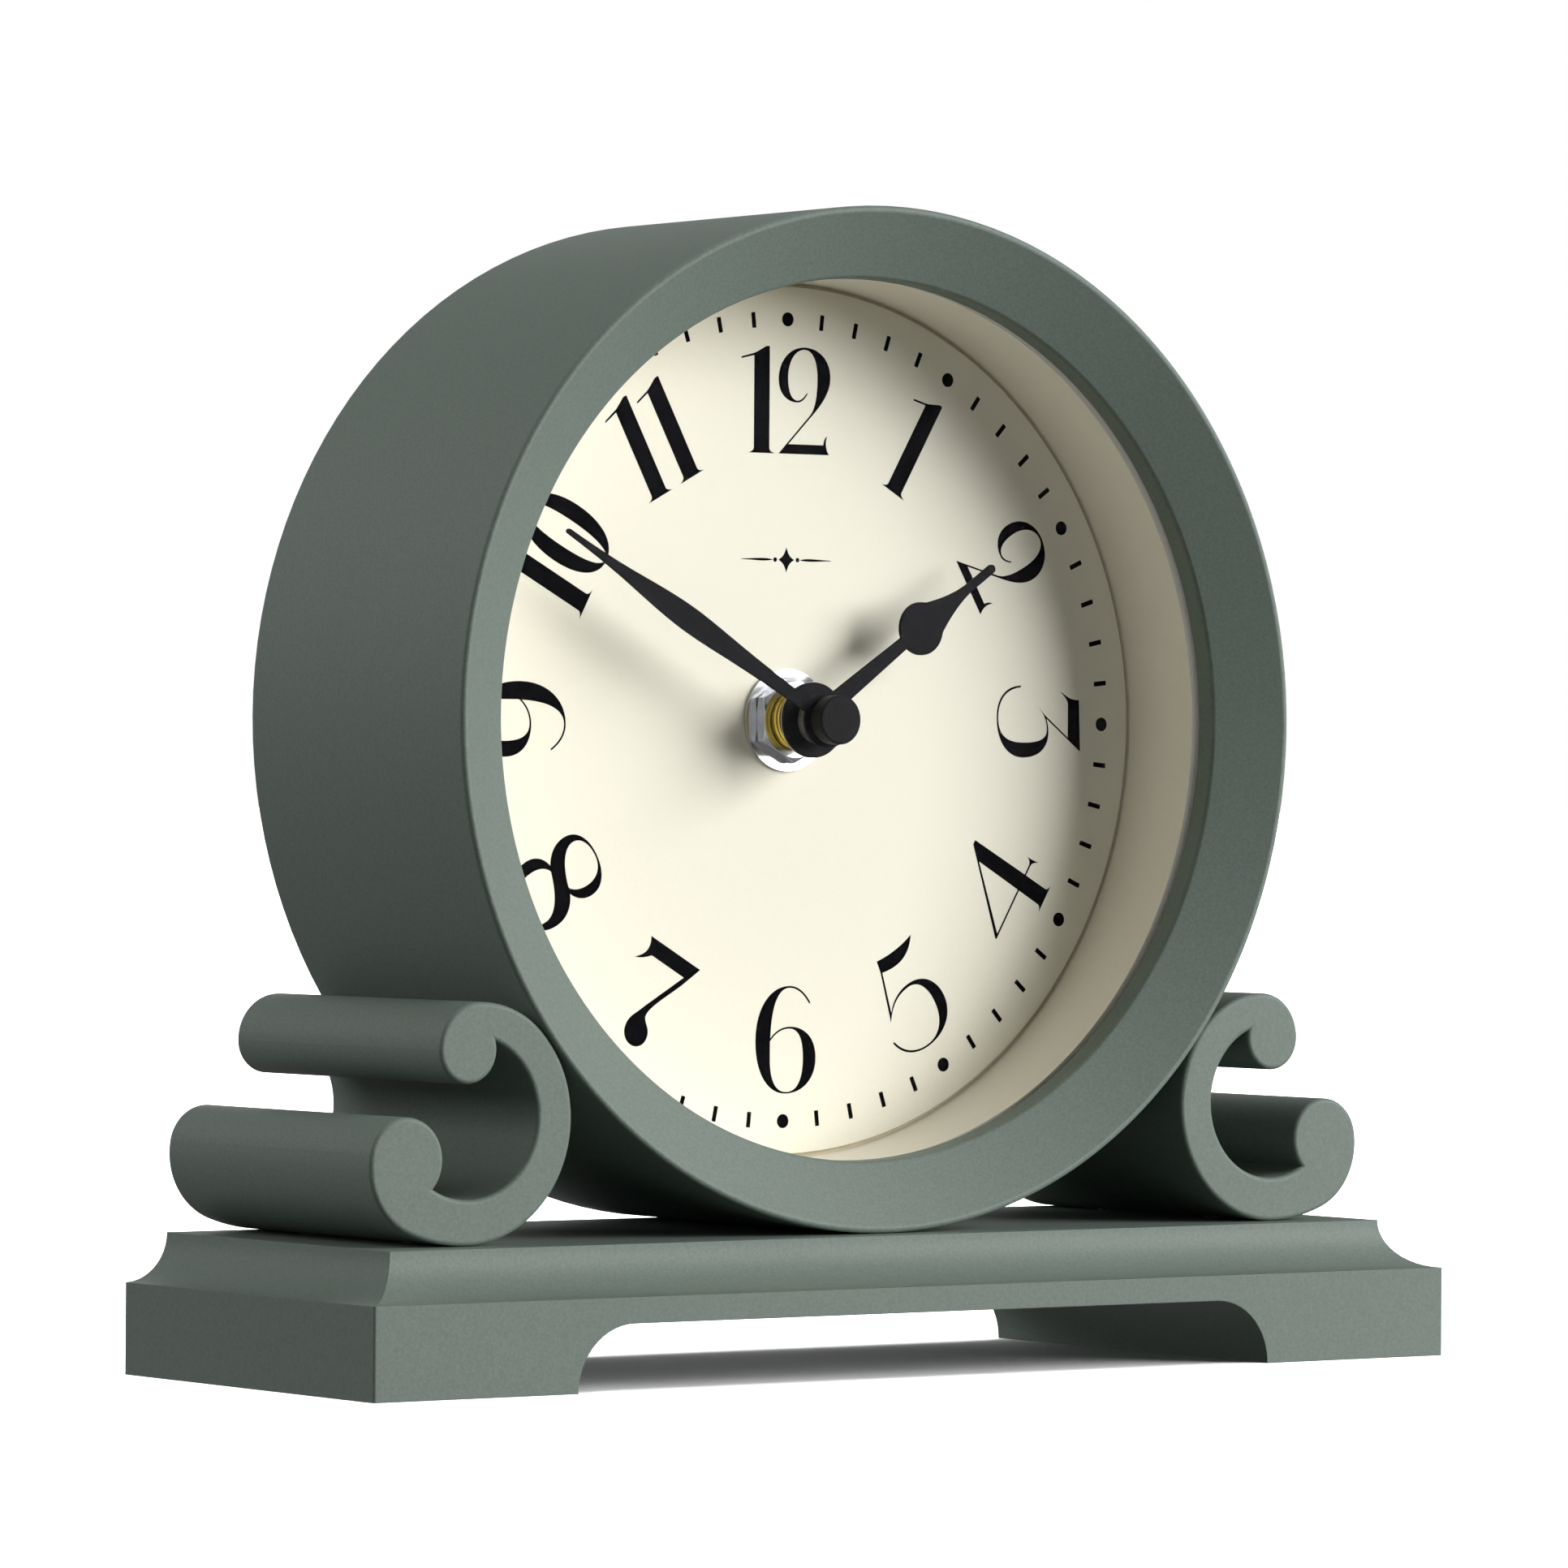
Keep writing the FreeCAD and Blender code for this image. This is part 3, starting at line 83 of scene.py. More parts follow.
def per_metre(size_mm: float) -> float:
    """Texture scale, in repeats a metre, of a pattern whose real size is in millimetres."""
    return 1.0 / (size_mm * MM)


def add_node(tree: Tree, kind: str, inputs: dict[Union[str, int], Value] | None = None,
             stops: Sequence[tuple[float, str]] = (), **settings: object) -> bpy.types.Node:
    """Adds a node with its settings, values and links.

    Args:
        tree: The node tree it goes in.
        kind: The node's type name.
        inputs: Socket name or number to a value, or to the output socket that feeds it.
        stops: Places and sRGB hex colours, for a node that has a colour ramp.
        settings: The node's own properties.

    Returns:
        The new node.
    """
    node = tree.nodes.new(kind)
    for name, setting in settings.items():
        setattr(node, name, setting)
    for key, value in (inputs or {}).items():
        if isinstance(value, Socket):
            tree.links.new(value, node.inputs[key])
        else:
            node.inputs[key].default_value = value
    for index, (place, colour) in enumerate(stops):
        elements = node.color_ramp.elements
        element = elements[index] if index < 2 else elements.new(place)
        element.position = place
        element.color = linear(colour)
    return node


@dataclass(frozen=True)
class Grain:
    """What a texture feeds to its finish: a height, and a tone, a colour or a roughness where it has one."""

    height: Socket
    tone: Socket | None = None
    colour: Socket | None = None
    roughness: Socket | None = None


@dataclass(frozen=True)
class Finish:
    """A surface: its base values, and a texture that adds what the eye sees close up.

    The base colour runs between two near tones, low and high. The texture is pressed in by depth_mm, of
    which strength shows, and edge_mm is the radius that paint or polish leaves on edges.
    """

    name: str
    colour: str
    roughness: float
    metallic: float = 0.0
    opacity: float = 1.0
    specular: float = 0.5
    low: str = "#000000"
    high: str = "#FFFFFF"
    depth_mm: float = 0.01
    strength: float = 0.5
    edge_mm: float = 0.0

    def material(self) -> bpy.types.Material:
        """Makes the material once, and gives the same one after that.

        Returns:
            The material.
        """
        known = bpy.data.materials.get(self.name)
        if known is not None:
            return known
        made = bpy.data.materials.new(self.name)
        made.use_nodes = True
        made.diffuse_color = linear(self.colour)
        tree = made.node_tree
        tree.nodes.clear()
        shader = add_node(tree, "ShaderNodeBsdfPrincipled", {
            "Base Color": linear(self.colour), "Roughness": self.roughness,
            "Metallic": self.metallic, "Alpha": self.opacity, "Specular IOR Level": self.specular})
        add_node(tree, "ShaderNodeOutputMaterial", {"Surface": shader.outputs["BSDF"]})
        grain = self.texture(tree, add_node(tree, "ShaderNodeTexCoord").outputs["Object"])
        colour = grain.colour
        if grain.tone is not None:
            colour = add_node(tree, "ShaderNodeValToRGB", {"Fac": grain.tone}, stops=(
                (0.3, self.low), (0.7, self.high))).outputs["Color"]
        bump = add_node(tree, "ShaderNodeBump", {
            "Height": grain.height, "Distance": self.depth_mm * MM, "Strength": self.strength})
        if self.edge_mm:
            edge = add_node(tree, "ShaderNodeBevel", {"Radius": self.edge_mm * MM}, samples=4)
            tree.links.new(edge.outputs["Normal"], bump.inputs["Normal"])
        for name, source in (("Base Color", colour), ("Roughness", grain.roughness),
                             ("Normal", bump.outputs["Normal"])):
            if source is not None:
                tree.links.new(source, shader.inputs[name])
        return made

    def texture(self, tree: Tree, where: Socket) -> Grain:
        """Adds the finish's own grain.

        Args:
            tree: The material's node tree.
            where: The piece's own coordinates, in metres.

        Returns:
            What it feeds to the finish.
        """
        raise NotImplementedError

    def dress(self, *pieces: bpy.types.Object) -> None:
        """Puts this finish on pieces.

        Args:
            pieces: The objects, which keep their meshes.
        """
        for piece in pieces:
            piece.data.materials.clear()
            piece.data.materials.append(self.material())


@dataclass(frozen=True)
class SprayedLacquer(Finish):
    """Satin lacquer sprayed on sanded MDF: a faint orange peel, and edges just eased by the paint."""

    low: str = "#636F67"
    high: str = "#6E7A72"
    depth_mm: float = 0.02
    strength: float = 0.35
    edge_mm: float = 0.2
    peel_mm: float = 0.7
    speckle_mm: float = 0.42
    drift_mm: float = 26.0

    def texture(self, tree: Tree, where: Socket) -> Grain:
        """Adds spray speckle, a slow drift of gloss and the peel."""
        speckle = add_node(tree, "ShaderNodeTexNoise", {
            "Vector": where, "Scale": per_metre(self.speckle_mm), "Detail": 2.0, "Roughness": 0.6})
        drift = add_node(tree, "ShaderNodeTexNoise", {
            "Vector": where, "Scale": per_metre(self.drift_mm), "Detail": 2.0})
        gloss = add_node(tree, "ShaderNodeMapRange", {
            "Value": drift.outputs["Fac"], "To Min": self.roughness - 0.03, "To Max": self.roughness + 0.04})
        peel = add_node(tree, "ShaderNodeTexNoise", {
            "Vector": where, "Scale": per_metre(self.peel_mm), "Detail": 3.0, "Roughness": 0.55})
        return Grain(peel.outputs["Fac"], speckle.outputs["Fac"], roughness=gloss.outputs["Result"])


@dataclass(frozen=True)
class PrintedCard(Finish):
    """Matt card or lining paper: short fibres that catch the light, with no gloss."""

    low: str = "#EAE7D5"
    high: str = "#F1EEDE"
    depth_mm: float = 0.012
    fibre_mm: float = 0.28

    def texture(self, tree: Tree, where: Socket) -> Grain:
        """Adds the fibres, drawn coarser than real ones so that they show."""
        fibre = add_node(tree, "ShaderNodeTexNoise", {
            "Vector": where, "Scale": per_metre(self.fibre_mm), "Detail": 4.0, "Roughness": 0.7,
            "Distortion": 0.4})
        return Grain(fibre.outputs["Fac"], fibre.outputs["Fac"])


@dataclass(frozen=True)
class FloatGlass(Finish):
    """Thin float glass, clear and flat: all but unseen, with the faintest waviness in what it reflects."""

    depth_mm: float = 0.02
    strength: float = 0.2
    wave_mm: float = 30.0

    def texture(self, tree: Tree, where: Socket) -> Grain:
        """Adds the waviness."""
        wave = add_node(tree, "ShaderNodeTexNoise", {"Vector": where, "Scale": per_metre(self.wave_mm)})
        return Grain(wave.outputs["Fac"])


@dataclass(frozen=True)
class ScreenedInk(Finish):
    """Black ink screened on card: flat and dense, with the mesh's faint mottle."""

    low: str = "#070709"
    high: str = "#0A0A0D"
    depth_mm: float = 0.004
    strength: float = 0.3
    mottle_mm: float = 0.4

    def texture(self, tree: Tree, where: Socket) -> Grain:
        """Adds the mottle."""
        mottle = add_node(tree, "ShaderNodeTexNoise", {
            "Vector": where, "Scale": per_metre(self.mottle_mm), "Detail": 2.0})
        return Grain(mottle.outputs["Fac"], mottle.outputs["Fac"])


@dataclass(frozen=True)
class TurnedMetal(Finish):
    """Metal turned or faced on a lathe: fine rings about the spindle that streak the highlights."""

    low: str = "#B9BABD"
    high: str = "#D0D1D3"
    depth_mm: float = 0.004
    strength: float = 0.4
    edge_mm: float = 0.08
    spindle: tuple[float, float, float] = (0.0, 0.0, 0.0)
    ring_mm: float = 0.18
    cloud_mm: float = 2.5

    def texture(self, tree: Tree, where: Socket) -> Grain:
        """Adds the tool's rings and a slight cloudiness in the plate."""
        centred = add_node(tree, "ShaderNodeVectorMath", {0: where, 1: self.spindle}, operation="SUBTRACT")
        rings = add_node(tree, "ShaderNodeTexWave", {
            "Vector": centred.outputs["Vector"], "Scale": per_metre(self.ring_mm) / WAVES,
            "Distortion": 1.5, "Detail": 2.0}, wave_type="RINGS", rings_direction="Y")
        cloud = add_node(tree, "ShaderNodeTexNoise", {
            "Vector": where, "Scale": per_metre(self.cloud_mm), "Detail": 3.0})
        dull = add_node(tree, "ShaderNodeMapRange", {
            "Value": cloud.outputs["Fac"], "To Min": self.roughness * 0.8, "To Max": self.roughness * 1.3})
        return Grain(rings.outputs["Fac"], cloud.outputs["Fac"], roughness=dull.outputs["Result"])


@dataclass(frozen=True)
class MouldedPlastic(Finish):
    """Injection-moulded plastic from a spark-eroded tool: an even fine grain and slightly soft edges."""

    low: str = "#15161A"
    high: str = "#1B1C20"
    strength: float = 0.3
    edge_mm: float = 0.15
    grain_mm: float = 0.25

    def texture(self, tree: Tree, where: Socket) -> Grain:
        """Adds the tool's grain."""
        grain = add_node(tree, "ShaderNodeTexVoronoi", {
            "Vector": where, "Scale": per_metre(self.grain_mm)}, feature="SMOOTH_F1")
        return Grain(grain.outputs["Distance"], grain.outputs["Distance"])


@dataclass(frozen=True)
class FibreBoard(Finish):
    """Raw MDF: pressed fibres, speckled brown, with a thirsty dead-flat face."""

    low: str = "#96774E"
    high: str = "#BD9C70"
    depth_mm: float = 0.05
    edge_mm: float = 0.2
    fleck_mm: float = 0.8

    def texture(self, tree: Tree, where: Socket) -> Grain:
        """Adds the fibres and the darker flecks between them."""
        flecks = add_node(tree, "ShaderNodeTexNoise", {
            "Vector": where, "Scale": per_metre(self.fleck_mm), "Detail": 6.0, "Roughness": 0.75,
            "Distortion": 0.8})
        return Grain(flecks.outputs["Fac"], flecks.outputs["Fac"])


@dataclass(frozen=True)
class SawnBeech(Finish):
    """Beech dowel, sawn and left bare: straight pores along the post with short dark rays."""

    low: str = "#A87C4E"
    high: str = "#C79C6B"
    depth_mm: float = 0.04
    pore_mm: float = 0.6
    stretch: tuple[float, float, float] = (1.0, 0.12, 1.0)

    def texture(self, tree: Tree, where: Socket) -> Grain:
        """Adds grain drawn out along the post."""
        drawn = add_node(tree, "ShaderNodeVectorMath", {0: where, 1: self.stretch}, operation="MULTIPLY")
        grain = add_node(tree, "ShaderNodeTexNoise", {
            "Vector": drawn.outputs["Vector"], "Scale": per_metre(self.pore_mm), "Detail": 4.0,
            "Roughness": 0.6})
        return Grain(grain.outputs["Fac"], grain.outputs["Fac"])


@dataclass(frozen=True)
class WoundCopper(Finish):
    """Enamelled copper wire, close wound: fine bands across the bobbin, drawn three wires wide to show."""

    low: str = "#7A3C1C"
    high: str = "#B9683A"
    depth_mm: float = 0.05
    strength: float = 0.8
    wire_mm: float = 0.3

    def texture(self, tree: Tree, where: Socket) -> Grain:
        """Adds the turns."""
        turns = add_node(tree, "ShaderNodeTexWave", {
            "Vector": where, "Scale": per_metre(self.wire_mm) / WAVES, "Distortion": 0.6},
            bands_direction="X")
        return Grain(turns.outputs["Fac"], turns.outputs["Fac"])


@dataclass(frozen=True)
class SolderMask(Finish):
    """Green solder mask over etched copper: the tracks stand as a paler, slightly raised pattern."""

    low: str = "#1F6B38"
    high: str = "#124A25"
    depth_mm: float = 0.03
    track_mm: float = 1.6

    def texture(self, tree: Tree, where: Socket) -> Grain:
        """Adds the tracks."""
        tracks = add_node(tree, "ShaderNodeTexVoronoi", {
            "Vector": where, "Scale": per_metre(self.track_mm)}, feature="F1", distance="CHEBYCHEV")
        return Grain(tracks.outputs["Distance"], tracks.outputs["Distance"])


@dataclass(frozen=True)
class CellJacket(Finish):
    """A dry cell's foil jacket: black along most of the can, copper at the positive end, bare steel tips."""

    depth_mm: float = 0.02
    strength: float = 0.25
    edge_mm: float = 0.3
    tip: float = 0.0246
    shoulder: float = 0.0105
    film_mm: float = 3.0

    def texture(self, tree: Tree, where: Socket) -> Grain:
        """Adds the bands along the can, by the distance from its middle, and the film's ripple."""
        along = add_node(tree, "ShaderNodeSeparateXYZ", {"Vector": where}).outputs["X"]
        share = add_node(tree, "ShaderNodeMapRange", {
            "Value": along, "From Min": -self.tip, "From Max": self.tip})
        bands = add_node(tree, "ShaderNodeValToRGB", {"Fac": share.outputs["Result"]}, stops=(
            (0.0, "#B4B2AC"), (1.0, "#B4B2AC"), (0.012, "#1A1A1C"),
            (0.5 + 0.5 * self.shoulder / self.tip, "#A8693C"), (0.985, "#B4B2AC")))
        bands.color_ramp.interpolation = "CONSTANT"
        film = add_node(tree, "ShaderNodeTexNoise", {
            "Vector": where, "Scale": per_metre(self.film_mm), "Detail": 2.0})
        return Grain(film.outputs["Fac"], colour=bands.outputs["Color"])


@dataclass(frozen=True)
class ChromePlate(Finish):
    """Bright chrome plate on pressed steel: mirror-smooth, with only a slow ripple from the pressing."""

    low: str = "#C2C3C6"
    high: str = "#CDCED0"
    strength: float = 0.2
    edge_mm: float = 0.12
    ripple_mm: float = 3.0

    def texture(self, tree: Tree, where: Socket) -> Grain:
        """Adds the ripple, and haze where the plate has been handled."""
        ripple = add_node(tree, "ShaderNodeTexNoise", {
            "Vector": where, "Scale": per_metre(self.ripple_mm), "Detail": 1.0})
        haze = add_node(tree, "ShaderNodeMapRange", {
            "Value": ripple.outputs["Fac"], "To Min": self.roughness - 0.03, "To Max": self.roughness + 0.03})
        return Grain(ripple.outputs["Fac"], ripple.outputs["Fac"], roughness=haze.outputs["Result"])


DIAL_LOW, DIAL_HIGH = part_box("dial_plate")
AXIS = Vector(((DIAL_LOW.x + DIAL_HIGH.x) / 2, DIAL_LOW.y, (DIAL_LOW.z + DIAL_HIGH.z) / 2))
SPINDLE = (AXIS.x, AXIS.y, AXIS.z)


class Surface(Enum):
    """Every finish on the clock."""

    # Lacquer on MDF: one even grey-green, satin, with eased edges.
    CASE_PAINT = SprayedLacquer("satin_lacquer_on_mdf", "#69756D", 0.54, specular=0.3)
    # Lining card: matt cream.
    LINER = PrintedCard("cream_card_liner", "#F1ECDE", 0.78, specular=0.3, low="#EEE9DA", high="#F5F0E3")
    # Dial card: matt warm white.
    DIAL = PrintedCard("matt_dial_card", "#F6F3E1", 0.8, specular=0.3, low="#F3F0DD", high="#F9F6E6")
    # Screened ink: dense black, no shine.
    INK = ScreenedInk("screened_black_ink", "#0B0B0D", 0.8, specular=0.02)
    # Float glass: all but unseen.
    GLASS = FloatGlass("clear_float_glass", "#08090A", 0.03, opacity=0.015, specular=0.2)
    # Chrome on pressed steel: mirror bright.
    CHROME = ChromePlate("bright_chrome_plate", "#C8C9CB", 0.2, 1.0)
    # Turned brass: yellow, ringed highlights.
    BRASS = TurnedMetal("turned_brass", "#A8923F", 0.2, 1.0, spindle=SPINDLE, low="#98822F", high="#BBA552")
    # Turned steel: grey, ringed highlights.
    STEEL = TurnedMetal("turned_steel", "#8E8F92", 0.3, 1.0, spindle=SPINDLE, low="#7E7F82", high="#9C9DA0")
    # Nickel plate: warm grey, a little dull.
    NICKEL = TurnedMetal("nickel_plated_spring", "#A09D95", 0.32, 1.0, low="#949189", high="#ACA9A0")
    # Zinc plate: dull and cloudy.
    ZINC = TurnedMetal("zinc_plated_screw", "#85847E", 0.42, 1.0, low="#787771", high="#93918A")
    # Stamped silicon steel: dark and dull.
    SILICON_STEEL = TurnedMetal("stamped_silicon_steel", "#7C7D80", 0.42, 1.0, low="#6C6D70",
                                high="#8A8B8E")
    # Lacquered sheet: black, with a fine grain that scatters light.
    HANDS = MouldedPlastic("satin_black_lacquer", "#1D1D1F", 0.6, specular=0.05, low="#17171A",
                           high="#1C1C1E", grain_mm=0.35, depth_mm=0.004)
    # Turned acetal: black, softly lit.
    CAP = MouldedPlastic("turned_black_acetal", "#19191B", 0.5, specular=0.05, low="#131315",
                         high="#18181A", grain_mm=0.3, depth_mm=0.003)
    # Moulded ABS: black, sparked grain.
    ABS = MouldedPlastic("moulded_black_abs", "#17181A", 0.5, specular=0.35)
    # Moulded acetal: milky white.
    ACETAL = MouldedPlastic("natural_acetal", "#E2E0D8", 0.42, low="#DAD8CF", high="#E8E6DF",
                            grain_mm=0.6, depth_mm=0.004)
    # Bonded ferrite: brown-grey, matt.
    FERRITE = MouldedPlastic("bonded_ferrite", "#2B2929", 0.6, low="#222020", high="#353232")
    # Moulded rubber: black, dead matt.
    RUBBER = MouldedPlastic("soft_black_rubber", "#1B1B1B", 0.8, grain_mm=0.5)
    # Raw MDF: speckled brown.
    BOARD = FibreBoard("raw_mdf", "#A98961", 0.88, specular=0.2)
    # Pressed pulp board: pale and matt.
    LINING_BOARD = FibreBoard("pale_pulp_board", "#CFC6AC", 0.9, specular=0.2, low="#C9BFA4", high="#D8CFB6")
    # Sawn beech: warm, with drawn-out pores.
    BEECH = SawnBeech("sawn_beech", "#B98D5E", 0.7)
    # Wound enamelled wire: red-brown bands.
    COPPER = WoundCopper("enamelled_copper_wire", "#9C5430", 0.3, 1.0)
    # Solder mask: green, with raised tracks.
    CIRCUIT = SolderMask("green_solder_mask", "#185A2E", 0.3)
    # Printed foil: glossy, black and copper.
    CELL = CellJacket("foil_cell_jacket", "#1A1A1C", 0.32, 0.4)


NODE_SURFACES: dict[Surface, tuple[str, ...]] = {
    Surface.CASE_PAINT: ("plinth", "left_scroll", "right_scroll", "case_drum"),
    Surface.LINER: ("inner_sleeve",),
    Surface.DIAL: ("dial_plate",),
    Surface.GLASS: ("lens",),
    Surface.CHROME: ("steel_washer", "hex_nut"),
    Surface.BRASS: ("threaded_bush", "hour_hand_collet"),
    Surface.STEEL: ("minute_arbor",),
    Surface.NICKEL: ("minute_hand_collet", "quartz_can", "positive_contact", "negative_contact"),
    Surface.ZINC: ("panel_screws", "plinth_screws"),
    Surface.SILICON_STEEL: ("stator",),
    Surface.HANDS: ("hour_hand", "minute_hand"),
    Surface.CAP: ("cap_nut",),
    Surface.ABS: ("movement_housing", "movement_cover"),
    Surface.ACETAL: ("hour_wheel", "minute_wheel", "setting_knob", "centre_wheel", "third_wheel",
                     "step_wheel"),
    Surface.FERRITE: ("rotor",),
    Surface.RUBBER: ("rubber_washer",),
    Surface.BOARD: ("back_panel",),
    Surface.LINING_BOARD: ("backing_board",),
    Surface.BEECH: ("panel_pillars",),
    Surface.COPPER: ("coil",),
    Surface.CIRCUIT: ("circuit_board",),
    Surface.CELL: ("battery_cell",),
}


# ---------------------------------------------------------------- outlines cut from sheet

def close_mesh(mesh: bpy.types.Mesh, sharp: float = 35.0) -> None:
    """Joins a mesh's loose faces into a closed skin, with smooth faces between sharp edges.

    Args:
        mesh: The mesh.
        sharp: The least angle of an edge that stays sharp, in degrees.
    """
    shape = bmesh.new()
    shape.from_mesh(mesh)
    bmesh.ops.remove_doubles(shape, verts=shape.verts, dist=0.0005 * MM)
    bmesh.ops.recalc_face_normals(shape, faces=shape.faces)
    for face in shape.faces:
        face.smooth = True
    shape.to_mesh(mesh)
    shape.free()
    mesh.set_sharp_from_angle(angle=math.radians(sharp))


def add_object(name: str, data: bpy.types.ID) -> bpy.types.Object:
    """Puts a mesh, curve, light or camera in the scene.

    Args:
        name: The object's name.
        data: What it shows.

    Returns:
        The object.
    """
    made = bpy.data.objects.new(name, data)
    bpy.context.scene.collection.objects.link(made)
    return made


@dataclass(frozen=True)
class Outline:
    """Closed contours in millimetres. Each starts at a point, and every later step is a corner (x, y) or
    a curve (x1, y1, x2, y2, x, y) with its two handles."""

    contours: tuple[Contour, ...]

    def moved(self, right: float, up: float) -> "Outline":
        """The outline shifted by two distances in millimetres."""
        return self.mapped(lambda x, y: (x + right, y + up))

    def turned(self, degrees: float) -> "Outline":
        """The outline turned clockwise about its own origin."""
        c, s = math.cos(math.radians(degrees)), math.sin(math.radians(degrees))
        return self.mapped(lambda x, y: (x * c + y * s, y * c - x * s))

    def mapped(self, change) -> "Outline":
        """The outline with every point changed.

        Args:
            change: A function from x and y to a new x and y.

        Returns:
            The new outline.
        """
        return Outline(tuple(
            tuple(sum((change(step[at], step[at + 1]) for at in range(0, len(step), 2)), ())
                  for step in contour)
            for contour in self.contours))

    def joined(self, other: "Outline") -> "Outline":
        """This outline and another as one."""
        return Outline(self.contours + other.contours)

    def cut(self, name: str, thickness_mm: float, seat: Matrix, edge_mm: float = 0.0,
            fineness: int = 12) -> bpy.types.Object:
        """Cuts the outline from sheet and seats it.

        Args:
            name: The piece's name.
            thickness_mm: The sheet's thickness, which rises from the seat's XY plane along its +Z.
            seat: Where the outline's origin and axes go, in metres.
            edge_mm: The radius of the rounded edges.
            fineness: How many straight runs make up each curved step.

        Returns:
            The piece as a mesh, with its place in its points.
        """
        curve = bpy.data.curves.new(name, "CURVE")
        curve.dimensions = "2D"
        curve.fill_mode = "BOTH"
        curve.resolution_u = fineness
        curve.extrude = (thickness_mm / 2 - edge_mm) * MM
        curve.bevel_depth = edge_mm * MM
        curve.offset = -edge_mm * MM
        curve.bevel_resolution = 3
        for contour in self.contours:
            self.add_spline(curve, contour)
        blank = add_object(name + "_blank", curve)
        bpy.context.view_layer.update()
        ready = blank.evaluated_get(bpy.context.evaluated_depsgraph_get())
        mesh = bpy.data.meshes.new_from_object(ready)
        bpy.data.objects.remove(blank)
        mesh.transform(seat @ Matrix.Translation((0, 0, thickness_mm / 2 * MM)))
        mesh.name = name
        close_mesh(mesh)
        return add_object(name, mesh)

    def add_spline(self, curve: bpy.types.Curve, contour: Contour) -> None:
        """Adds one closed contour to a curve.

        Args:
            curve: The flat curve.
            contour: The contour, closed by a straight run unless its last step ends where it starts.
        """
        steps = list(contour[1:])
        if steps[-1][-2:] != contour[0]:
            steps.append(contour[0])
        ends = [contour[0]] + [step[-2:] for step in steps[:-1]]
        spline = curve.splines.new("BEZIER")
        spline.bezier_points.add(len(ends) - 1)
        spline.use_cyclic_u = True
        for index, point in enumerate(spline.bezier_points):
            point.handle_left_type = point.handle_right_type = "FREE"
            point.co = (ends[index][0] * MM, ends[index][1] * MM, 0)
        for index, step in enumerate(steps):
            first = spline.bezier_points[index]
            last = spline.bezier_points[(index + 1) % len(ends)]
            if len(step) == 6:
                first.handle_right = (step[0] * MM, step[1] * MM, 0)
                last.handle_left = (step[2] * MM, step[3] * MM, 0)
            else:
                first.handle_right = first.co.lerp(last.co, 1 / 3)
                last.handle_left = first.co.lerp(last.co, 2 / 3)


# How far a quarter circle's curve handles stand off, as a share of its radius.
ARC_HANDLE = 0.5523


def disc(radius: float, right: float = 0.0, up: float = 0.0) -> Outline:
    """A round outline.

    Args:
        radius: Its radius in millimetres.
        right: Its middle's distance to the right.
        up: Its middle's distance up.

    Returns:
        The outline.
    """
    r, h = radius, radius * ARC_HANDLE
    circle = ((r, 0.0), (r, h, h, r, 0.0, r), (-h, r, -r, h, -r, 0.0), (-r, -h, -h, -r, 0.0, -r),
              (h, -r, r, -h, r, 0.0))
    return Outline((circle,)).moved(right, up)


def bar(width: float, height: float) -> Outline:
    """An upright bar about its own middle."""
    x, y = width / 2, height / 2
    return Outline((((-x, -y), (x, -y), (x, y), (-x, y)),))


def cross(long: float, wide: float) -> Outline:
    """An upright cross about its own middle, with all its arms as long and as wide as each other."""
    half, thin = long / 2, wide / 2
    return Outline((((-half, -thin), (-thin, -thin), (-thin, -half), (thin, -half), (thin, -thin),
                     (half, -thin), (half, thin), (thin, thin), (thin, half), (-thin, half),
                     (-thin, thin), (-half, thin)),))


def ringed(radius: float, dips: int, depth: float) -> Outline:
    """A round outline with shallow hollows all the way round, as a finger grip has.

    Args:
        radius: The radius over the ridges.
        dips: How many hollows.
        depth: How deep they are.

    Returns:
        The outline.
    """
    steps: list[Step] = [(0.0, radius)]
    pitch = 2 * math.pi / dips
    for index in range(dips):
        angles = [pitch * (index + part) for part in (0.3, 0.7, 1.0)]
        reaches = (radius - depth, radius - depth, radius)
        points = [(reach * math.sin(a), reach * math.cos(a)) for reach, a in zip(reaches, angles)]
        steps.append(points[0] + points[1] + points[2])
    return Outline((tuple(steps[:-1]) + (steps[-1][:4] + steps[0],),))


def facing_front(depth_mm: float) -> Matrix:
    """A seat on the dial's axis, this far in front of its face, whose +Z points at the viewer."""
    return Matrix.Translation(AXIS - Vector((0, depth_mm * MM, 0))) @ Matrix.Rotation(
        math.pi / 2, 4, "X")


def facing_back(at: Vector) -> Matrix:
    """A seat at a place, whose +Z points away from the dial and whose +X is the right from behind."""
    return Matrix.Translation(at) @ Matrix.Rotation(math.pi, 4, "Z") @ Matrix.Rotation(math.pi / 2, 4, "X")


# ---------------------------------------------------------------- dial

